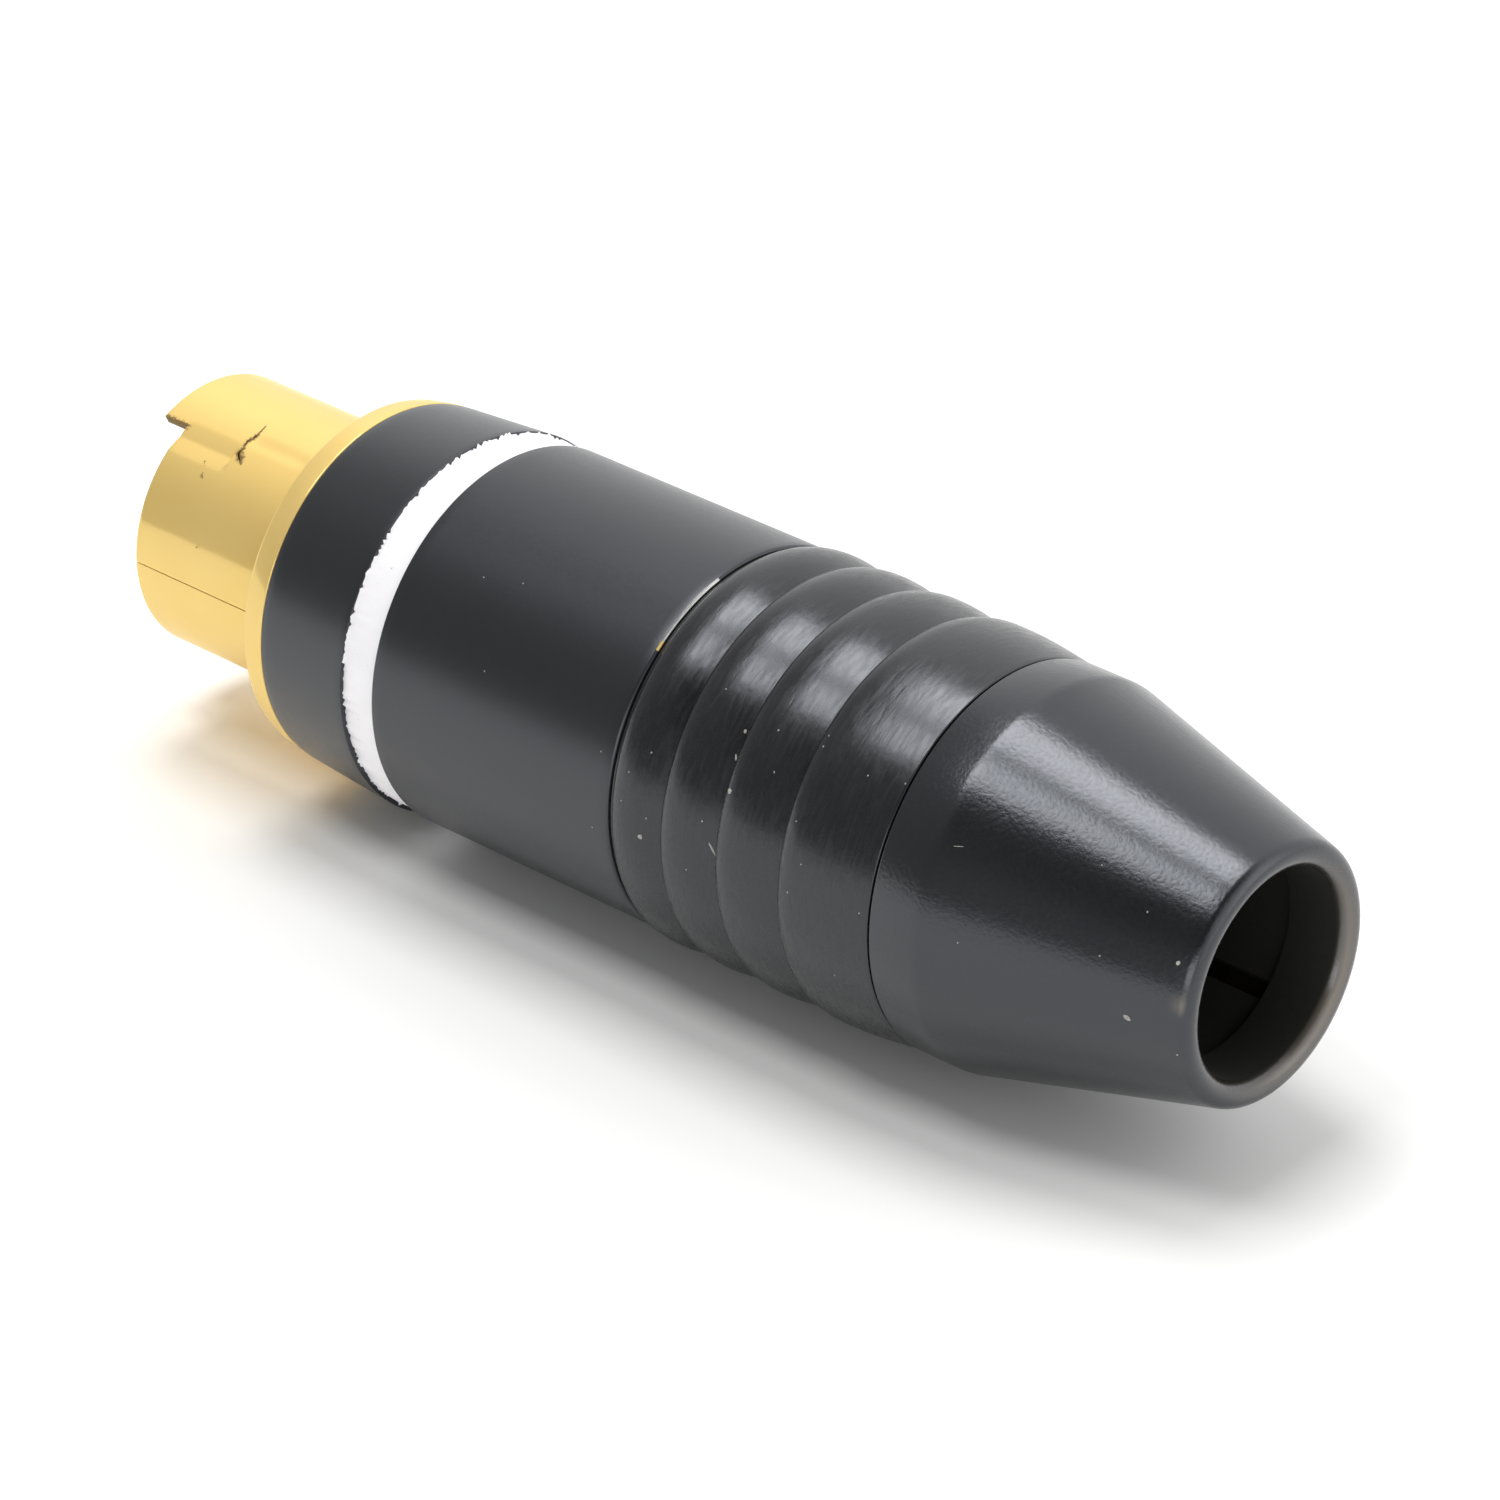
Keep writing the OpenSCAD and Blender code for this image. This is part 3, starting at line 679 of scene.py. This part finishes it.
# Cut white plastic: a cool, nearly pure white with a dry sheen, a faintly rough cut and a few dark specks.
white_plastic, tree = new_finish("white plastic tube")
place = add(tree, "ShaderNodeTexCoord").outputs["Object"]
cloud = add(tree, "ShaderNodeTexNoise", {"Vector": place, "Scale": 1 / (0.5 * MM), "Detail": 4}).outputs[0]
grit = add(tree, "ShaderNodeTexNoise", {"Vector": place, "Scale": 1 / (0.1 * MM), "Detail": 2}).outputs[0]
tone = add(
    tree,
    "ShaderNodeMix",
    {0: cloud, 6: linear("#f6f4f7"), 7: linear("#fefdff")},
    data_type="RGBA",
).outputs[2]
dirt = add(tree, "ShaderNodeMapRange", {"Value": grit, "From Min": 0.74, "From Max": 0.8}).outputs[0]
colour = add(tree, "ShaderNodeMix", {0: dirt, 6: tone, 7: linear("#77706f")}, data_type="RGBA").outputs[2]
relief = add(tree, "ShaderNodeBump", {"Height": grit, "Strength": 0.5, "Distance": 0.008 * MM}).outputs[0]
surface = add(
    tree,
    "ShaderNodeBsdfPrincipled",
    {"Base Color": colour, "Roughness": 0.5, "IOR": 1.49, "Normal": relief},
).outputs[0]
add(tree, "ShaderNodeOutputMaterial", {"Surface": surface})
dress(white_ring, white_plastic, "white_plastic", "colour_ring")

# The barrel: a plain turned sleeve, sprayed satin black, that slides over the core tube. A short stretch of
# its rear edge has lost its paint, so a thin line of bare metal shows there.
BARREL_X, BARREL_END_X, BARREL_R, BARREL_BORE_R = 6.2, 16.3, 6.41, 5.63
BARREL_ROWS, BARREL_ROUND, BARE_EDGE = 24, 0.03, 0.12
# The bare stretch, as angles from the seam, and the tilts of the rounded edge that it covers
BARE_FROM, BRASS_TO, BARE_TO = 50, 53, 78
BARE_TILT_FROM, BARE_TILT_TO = 0.45, 0.93

# Rubbed metal under the paint: a thin bright line, dulled here and there.
bare_edge, tree = new_finish("rubbed metal edge")
place = add(tree, "ShaderNodeTexCoord").outputs["Object"]
lathe = add(tree, "ShaderNodeTexNoise", {"Vector": place, "Scale": 1 / (0.25 * MM), "Detail": 2}).outputs[0]
tone = add(
    tree,
    "ShaderNodeMix",
    {0: lathe, 6: linear("#b5b3af"), 7: linear("#efeeeb")},
    data_type="RGBA",
).outputs[2]
surface = add(
    tree,
    "ShaderNodeBsdfPrincipled",
    {"Base Color": tone, "Metallic": 1.0, "Roughness": 0.3},
).outputs[0]
add(tree, "ShaderNodeOutputMaterial", {"Surface": surface})

barrel = turned(
    "barrel_sleeve",
    [(BARREL_X, BARREL_BORE_R, 0), (BARREL_X, BARREL_R, BARREL_ROUND)]
    + rows((BARREL_X, BARREL_R), (BARREL_END_X, BARREL_R), BARREL_ROWS)[1:-1]
    + [(BARREL_END_X, BARREL_R, BARE_EDGE), (BARREL_END_X, BARREL_BORE_R, 0)],
    steps=360,
)
dress(barrel, satin_paint, "black_paint", "barrel")
barrel.data.materials.append(bare_edge)
barrel.data.materials.append(gold_plate)
for face in barrel.data.polygons:
    on_edge = face.center.x > (BARREL_END_X - BARE_EDGE) * MM
    tilted = BARE_TILT_FROM < face.normal.x < BARE_TILT_TO
    if on_edge and tilted and BARE_FROM < seam_angle(face.center) < BARE_TO:
        face.material_index = 2 if seam_angle(face.center) < BRASS_TO else 1

# The grip: a soft sleeve moulded in black rubber with four rounded ribs, stretched over the core tube
# between the barrel and the tail cap.
GRIP_LIP_X, GRIP_END_X, GRIP_BORE_R = 16.32, 26.7, 5.63
RIB_STARTS = (16.43, 18.43, 20.68, 23.18)
RIB_RISE, RIB_VALLEY_R, RIB_H, RIB_STEPS = 0.75, 6.31, 0.26, 16
GRIP_LIP_ROUND, GRIP_END_ROUND = 0.03, 0.04

# Moulded black rubber: dull black with a soft gloss, drawn into fine streaks round the sleeve by the mould's
# turning marks and mottled by handling.
black_rubber, tree = new_finish("moulded black rubber")
place = add(tree, "ShaderNodeTexCoord").outputs["Object"]
axes = add(tree, "ShaderNodeSeparateXYZ", {"Vector": place}).outputs
turn = add(tree, "ShaderNodeMath", {0: axes["Y"], 1: axes["Z"]}, operation="ARCTAN2").outputs[0]
around = add(tree, "ShaderNodeMath", {0: turn, 1: 1.2 * MM}, operation="MULTIPLY").outputs[0]
unrolled = add(tree, "ShaderNodeCombineXYZ", {"X": axes["X"], "Y": around}).outputs[0]
streaks = add(
    tree,
    "ShaderNodeTexNoise",
    {"Vector": unrolled, "Scale": 1 / (0.15 * MM), "Detail": 4},
).outputs[0]
mottle = add(tree, "ShaderNodeTexNoise", {"Vector": place, "Scale": 1 / (0.3 * MM), "Detail": 3}).outputs[0]
tone = add(
    tree,
    "ShaderNodeMix",
    {0: mottle, 6: linear("#151515"), 7: linear("#1d1d1d")},
    data_type="RGBA",
).outputs[2]
height = add(tree, "ShaderNodeMath", {0: mottle, 1: 0.6, 2: streaks}, operation="MULTIPLY_ADD").outputs[0]
gloss = add(tree, "ShaderNodeMapRange", {"Value": streaks, "To Min": 0.08, "To Max": 0.44}).outputs[0]
relief = add(
    tree,
    "ShaderNodeBump",
    {"Height": height, "Strength": 1.0, "Distance": 0.0065 * MM},
).outputs[0]
surface = add(
    tree,
    "ShaderNodeBsdfPrincipled",
    {
        "Base Color": tone,
        "Roughness": gloss,
        "IOR": 1.62,
        # The specular tint paints a faint blue into the reflections, standing in for bluish light from the
        # lamps and the room.
        "Specular Tint": linear("#f2f6ff"),
        "Normal": relief,
    },
).outputs[0]
add(tree, "ShaderNodeOutputMaterial", {"Surface": surface})

ribs = []
for start, end in zip(RIB_STARTS, RIB_STARTS[1:] + (GRIP_END_X,)):
    crest = start + RIB_RISE
    for k in range(RIB_STEPS):
        turn = math.pi / 2 * k / RIB_STEPS
        ribs.append((crest - RIB_RISE * math.cos(turn), RIB_VALLEY_R + RIB_H * math.sin(turn), 0))
    for k in range(RIB_STEPS):
        share = k / RIB_STEPS
        ribs.append((crest + (end - crest) * share, RIB_VALLEY_R + RIB_H * math.cos(math.pi / 2 * share), 0))
grip = turned(
    "grip_sleeve_ribbed",
    [(GRIP_LIP_X, GRIP_BORE_R, 0), (GRIP_LIP_X, RIB_VALLEY_R, GRIP_LIP_ROUND)]
    + ribs
    + [(GRIP_END_X, RIB_VALLEY_R, GRIP_END_ROUND), (GRIP_END_X, GRIP_BORE_R, 0)],
    steps=256,
)
dress(grip, black_rubber, "black_rubber", "grip_sleeve")

# The tail cap: a turned cap with a straight band, a long cone and a full round lip at the cable hole,
# sprayed satin black. It screws on the core tube, and its conical seat squeezes the collet on the cable.
TAIL_X, TAIL_R, BAND_END_X, TAIL_END_X = 26.76, 6.34, 28.5, 37.06
HOLE_R, LIP_T, HOLE_X, HOLE_LEDGE_R = 3.35, 0.9, 34.86, 4.0
THREAD_R, THREAD_END_X, SEAT_MOUTH_R = 4.93, 30.32, 4.8
TAIL_ROUND, CONE_ROUND, HOLE_ROUND = 0.08, 0.15, 0.05
CONE_ROWS, LIP_STEPS = 24, 20

lip_r = LIP_T / 2
lip_x, lip_centre_r = TAIL_END_X - lip_r, HOLE_R + lip_r
run, drop = lip_x - BAND_END_X, TAIL_R - lip_centre_r
slope = math.asin(lip_r / math.hypot(run, drop)) - math.atan2(drop, run)
lip_turns = [math.pi / 2 + slope - (math.pi + slope) * k / LIP_STEPS for k in range(LIP_STEPS + 1)]
lip = [(lip_x + lip_r * math.cos(turn), lip_centre_r + lip_r * math.sin(turn), 0) for turn in lip_turns]
cone = [(BAND_END_X, TAIL_R, CONE_ROUND)]
cone += rows((BAND_END_X, TAIL_R), lip[0][:2], CONE_ROWS)[1:-1]
tail = turned(
    "tail_cap_cone",
    [(TAIL_X, THREAD_R, 0), (TAIL_X, TAIL_R, TAIL_ROUND)]
    + cone
    + lip
    + [
        (HOLE_X, HOLE_R, HOLE_ROUND),
        (HOLE_X, HOLE_LEDGE_R, 0),
        (THREAD_END_X, SEAT_MOUTH_R, 0),
        (THREAD_END_X, THREAD_R, 0),
    ],
    steps=300,
)

# Black paint on the cap, sprayed thicker: glossier, with an orange peel that mottles the highlights.
gloss_paint = black_paint("glossy black paint on metal", 0.15, 0.3, 0.007)
dress(tail, gloss_paint, "black_paint", "tail_cap")

# Moulded black nylon on the collet. The faces in the hole get the same dry black, a little lighter than the
# paint:
# painted glare that lightens the shadow in the hole.
black_nylon_and_glare, tree = new_finish("moulded black nylon")
place = add(tree, "ShaderNodeTexCoord").outputs["Object"]
grain = add(tree, "ShaderNodeTexNoise", {"Vector": place, "Scale": 1 / (0.15 * MM), "Detail": 3}).outputs[0]
tone = add(
    tree,
    "ShaderNodeMix",
    {0: grain, 6: linear("#181916"), 7: linear("#20211e")},
    data_type="RGBA",
).outputs[2]
relief = add(tree, "ShaderNodeBump", {"Height": grain, "Strength": 0.6, "Distance": 0.008 * MM}).outputs[0]
surface = add(
    tree,
    "ShaderNodeBsdfPrincipled",
    {"Base Color": tone, "Roughness": 0.7, "IOR": 1.5, "Normal": relief},
).outputs[0]
add(tree, "ShaderNodeOutputMaterial", {"Surface": surface})
tail.data.materials.append(black_nylon_and_glare)
for face in tail.data.polygons:
    in_hole = math.hypot(face.center.y, face.center.z) < (HOLE_R + SLACK) * MM
    faces_inwards = face.normal.x < -0.5
    if (in_hole or faces_inwards) and face.center.x > THREAD_END_X * MM:
        face.material_index = 1
paint(frame["nodes"]["cable_collet"], black_nylon_and_glare)

# A brown scuff on the lip, as its place along the axis, its angle, its reach in mm along both and its share
SCUFF_X, SCUFF_ANGLE, SCUFF_REACH_X, SCUFF_REACH, SCUFF_SHARE = 36.8, 11, 0.14, 0.4, 0.7
# The lip's inner side, painted a paler warm grey, most on one side: the middle and the reach in degrees round
# the lip, the share, the least part of it all round, and the angle from the seam that is opposite to the most
PALE_LIP_MIDDLE, PALE_LIP_REACH, PALE_LIP_SHARE, PALE_LIP_LEAST, PALE_LIP_OPPOSITE = -35, 60, 0.9, 0.15, 35
scuff_and_pale_lip = tail.data.attributes.new("scuff_and_pale_lip", "FLOAT", "POINT")
for vertex, level in zip(tail.data.vertices, scuff_and_pale_lip.data):
    point = vertex.co / MM
    off_x = (point.x - SCUFF_X) / SCUFF_REACH_X
    off_round = math.radians(seam_angle(point) - SCUFF_ANGLE) * lip_centre_r / SCUFF_REACH
    level.value = SCUFF_SHARE * max(0, 1 - math.hypot(off_x, off_round))
    if point.x > lip_x - SLACK:
        turn = math.degrees(math.atan2(math.hypot(point.y, point.z) - lip_centre_r, point.x - lip_x))
        across = max(0, -math.cos(math.radians(seam_angle(point) - PALE_LIP_OPPOSITE)))
        paler_side = PALE_LIP_LEAST + (1 - PALE_LIP_LEAST) * across
        pale_lip = PALE_LIP_SHARE * paler_side * max(0, 1 - abs(turn - PALE_LIP_MIDDLE) / PALE_LIP_REACH)
        level.value = max(level.value, pale_lip)

# The dust: flakes of lint and a fibre that cling to the sleeves, modelled as one crumpled ball and copied,
# each copy pressed flat on the sleeve that carries it.
# The flakes, as the place along the axis in mm, the angle from the seam, length and width in mm and a turn
FLAKES = [
    (20.93, 23.4, 0.19, 0.17, 20),
    (17.75, 0.0, 0.18, 0.16, 70),
    (35.22, -0.2, 0.28, 0.15, -25),
    (20.57, 39.6, 0.13, 0.1, 110),
    (20.63, 32.1, 0.24, 0.07, 116),
    (36.41, 27.1, 0.16, 0.12, 60),
    (20.54, 5.2, 0.5, 0.07, -55),
    (17.72, 24.2, 0.063, 0.056, 10),
    (15.76, 18.4, 0.056, 0.049, 40),
    (17.1, 16.9, 0.063, 0.042, 75),
    (15.64, -4.9, 0.056, 0.056, 15),
    (16.96, 8.3, 0.056, 0.042, 130),
    (17.93, 6.0, 0.063, 0.049, 95),
    (20.11, 12.3, 0.07, 0.056, 50),
    (19.66, -3.4, 0.063, 0.049, 160),
    (22.25, 32.9, 0.084, 0.042, 120),
    (21.8, 43.3, 0.07, 0.049, 30),
    (23.49, 44.2, 0.07, 0.056, 85),
    (23.48, 47.4, 0.056, 0.049, 5),
    (25.38, 42.0, 0.063, 0.049, 65),
    (26.59, 44.2, 0.056, 0.049, 140),
    (23.77, 4.1, 0.063, 0.056, 100),
    (26.39, 6.3, 0.056, 0.049, 25),
    (25.35, -17.2, 0.056, 0.049, 55),
    (24.16, 13.3, 0.063, 0.042, 170),
    (23.62, 23.5, 0.056, 0.042, 45),
    (19.37, 47.6, 0.056, 0.049, 80),
    (29.13, 34.7, 0.34, 0.022, 20),
    (35.02, 39.9, 0.063, 0.049, 115),
    (36.73, -11.8, 0.084, 0.056, 35),
    (33.2, 47.5, 0.056, 0.042, 150),
    (34.14, 19.4, 0.063, 0.049, 60),
    (29.87, 8.8, 0.056, 0.049, 105),
    (9.06, 49.1, 0.056, 0.049, 15),
    (10.5, 52.0, 0.056, 0.042, 125),
    (10.58, 25.5, 0.056, 0.049, 90),
]
FLAKE_HEIGHT, CRUMPLE, FLAKE_SEED = 0.5, 0.14, 4
# A radius in mm outside all sleeves
OUTSIDE_R = 9

bpy.ops.object.select_all(action="DESELECT")
bpy.ops.mesh.primitive_ico_sphere_add(subdivisions=2, radius=0.5)
first_flake = bpy.context.object
bpy.ops.object.mode_set(mode="EDIT")
bpy.ops.mesh.select_all(action="SELECT")
bpy.ops.transform.vertex_random(offset=CRUMPLE, seed=FLAKE_SEED)
bpy.ops.object.mode_set(mode="OBJECT")
bpy.ops.object.shade_smooth()
bpy.context.view_layer.update()
flakes = []
for x, angle, length, width, turn in FLAKES:
    carrier = barrel if x < BARREL_END_X else grip if x < GRIP_END_X else tail
    _, spot, normal, _ = carrier.ray_cast(on_skirt(x, angle, OUTSIDE_R) * MM, -on_skirt(0, angle, 1))
    lengthways = (Vector((1, 0, 0)) - normal * normal.x).normalized()
    facing = Matrix((lengthways, normal.cross(lengthways), normal)).transposed().to_4x4()
    flake = first_flake.copy()
    flake.data = first_flake.data.copy()
    bpy.context.scene.collection.objects.link(flake)
    flake.matrix_world = (
        Matrix.Translation(spot)
        @ facing
        @ Matrix.Rotation(math.radians(turn), 4, "Z")
        @ Matrix.Diagonal((length * MM, width * MM, FLAKE_HEIGHT * width * MM, 1))
    )
    flakes.append(flake)
bpy.data.objects.remove(first_flake)
bpy.ops.object.select_all(action="DESELECT")
for flake in flakes:
    flake.select_set(True)
dust = flakes[0]
bpy.context.view_layer.objects.active = dust
bpy.ops.object.join()
bpy.ops.object.transform_apply(location=True, rotation=True, scale=True)
dust.name = dust.data.name = "dust_flakes"

# Lint: pale grey fluff without gloss, darker where it is matted.
lint, tree = new_finish("grey lint")
place = add(tree, "ShaderNodeTexCoord").outputs["Object"]
matted = add(
    tree,
    "ShaderNodeTexNoise",
    {"Vector": place, "Scale": 1 / (0.06 * MM), "Detail": 2},
).outputs[0]
tone = add(
    tree,
    "ShaderNodeMix",
    {0: matted, 6: linear("#7f7d77"), 7: linear("#c3c0b9")},
    data_type="RGBA",
).outputs[2]
surface = add(
    tree,
    "ShaderNodeBsdfPrincipled",
    {"Base Color": tone, "Roughness": 0.9, "IOR": 1.45},
).outputs[0]
add(tree, "ShaderNodeOutputMaterial", {"Surface": surface})
dust.data.materials.append(lint)
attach(dust, "root")

# The table: a broad matt white board that the plug lies on, as low as its widest rib. It takes the plug's
# soft shadow and a little of the gold's warm light.
FLOOR_SIZE = 3.0
floor_z = cad_box[0][2]

bpy.ops.object.select_all(action="DESELECT")
bpy.ops.mesh.primitive_grid_add(x_subdivisions=4, y_subdivisions=4, size=FLOOR_SIZE, location=(0, 0, floor_z))
bpy.ops.object.transform_apply(location=True, rotation=True, scale=True)
table = bpy.context.object
table.name = "white_table"
white_board, tree = new_finish("matt white board")
surface = add(tree, "ShaderNodeBsdfDiffuse", {"Color": linear("#fbfbfa")}).outputs[0]
add(tree, "ShaderNodeOutputMaterial", {"Surface": surface})
table.data.materials.append(white_board)

# The light: two soft boxes overhead, a low fill panel in front and a pale room that is brightest beyond the
# plug and past its cable end, with hardly any light from above the camera.
NEAR_LEVEL, MIDDLE_LEVEL, FAR_LEVEL, GLOW_LEVEL, DIM_SHARE = 0.24, 0.45, 0.73, 1.05, 0.1
GLOW_SIDE, DIM_SIDE = (0.96, 0.05, 0.28), (0.5, -0.45, 0.74)
LAMP_DISTANCE = 0.5
# The lamps, as where each hangs, its size in degrees along the plug and across it, and its radiance
LAMPS = {
    "front_soft_box": ((-0.19, -0.316, 0.93), 26.4, 16.5, 6.6),
    "rear_soft_box": ((-0.19, 0.115, 0.975), 26.4, 21.4, 7.4),
    "fill_panel": ((0.5, -0.85, 0.19), 40, 20, 2.4),
}

world = bpy.data.worlds.new("pale room")
bpy.context.scene.world = world
world.use_nodes = True
tree = world.node_tree
tree.nodes.clear()
outlook = add(tree, "ShaderNodeTexCoord").outputs["Generated"]
depth = add(tree, "ShaderNodeSeparateXYZ", {"Vector": outlook}).outputs["Y"]
near = add(
    tree,
    "ShaderNodeMapRange",
    {"Value": depth, "From Min": -0.8, "From Max": 0.0, "To Min": NEAR_LEVEL, "To Max": MIDDLE_LEVEL},
).outputs[0]
far = add(
    tree,
    "ShaderNodeMapRange",
    {"Value": depth, "From Min": 0.0, "From Max": 0.6, "To Min": 0.0, "To Max": FAR_LEVEL},
    interpolation_type="SMOOTHSTEP",
).outputs[0]
walls = add(tree, "ShaderNodeMath", {0: near, 1: far}, operation="ADD").outputs[0]
aglow = add(
    tree,
    "ShaderNodeVectorMath",
    {0: outlook, 1: GLOW_SIDE},
    operation="DOT_PRODUCT",
).outputs["Value"]
glow = add(
    tree,
    "ShaderNodeMapRange",
    {"Value": aglow, "From Min": 0.6, "From Max": 0.97, "To Min": 0.0, "To Max": GLOW_LEVEL},
    interpolation_type="SMOOTHSTEP",
).outputs[0]
aside = add(
    tree,
    "ShaderNodeVectorMath",
    {0: outlook, 1: DIM_SIDE},
    operation="DOT_PRODUCT",
).outputs["Value"]
dim = add(
    tree,
    "ShaderNodeMapRange",
    {"Value": aside, "From Min": 0.6, "From Max": 0.88, "To Min": 1.0, "To Max": DIM_SHARE},
    interpolation_type="SMOOTHSTEP",
).outputs[0]
dimmed = add(tree, "ShaderNodeMath", {0: walls, 1: dim}, operation="MULTIPLY").outputs[0]
lit = add(tree, "ShaderNodeMath", {0: dimmed, 1: glow}, operation="ADD").outputs[0]
sky = add(tree, "ShaderNodeBackground", {"Color": (1, 1, 1, 1), "Strength": lit}).outputs[0]
add(tree, "ShaderNodeOutputWorld", {"Surface": sky})

for name, (direction, along, across, radiance) in LAMPS.items():
    lamp = bpy.data.lights.new(name, "AREA")
    lamp.shape = "RECTANGLE"
    lamp.size = 2 * LAMP_DISTANCE * math.tan(math.radians(along / 2))
    lamp.size_y = 2 * LAMP_DISTANCE * math.tan(math.radians(across / 2))
    lamp.energy = radiance * math.pi * lamp.size * lamp.size_y
    panel = bpy.data.objects.new(name, lamp)
    bpy.context.scene.collection.objects.link(panel)
    towards = Vector(direction).normalized()
    lengthways = (Vector((1, 0, 0)) - towards * towards.x).normalized()
    panel.location = towards * LAMP_DISTANCE
    panel.rotation_euler = Matrix((lengthways, towards.cross(lengthways), towards)).transposed().to_euler()

# The camera: a long lens above and in front of the cable end, which looks down along the plug towards its
# skirt. Its place is in mm and its turns are in degrees.
LENS, SENSOR, NEAREST = 164.3, 36, 0.01
CAMERA_PLACE, CAMERA_TILT, CAMERA_HEADING = (140.25, -136.48, 104.0), 60.51, 42.24

bpy.ops.object.camera_add(
    location=Vector(CAMERA_PLACE) * MM,
    rotation=(math.radians(CAMERA_TILT), 0, math.radians(CAMERA_HEADING)),
)
camera = bpy.context.object
camera.data.lens = LENS
camera.data.sensor_width = SENSOR
camera.data.clip_start = NEAREST
bpy.context.scene.camera = camera
bpy.context.scene.view_settings.view_transform = "Standard"
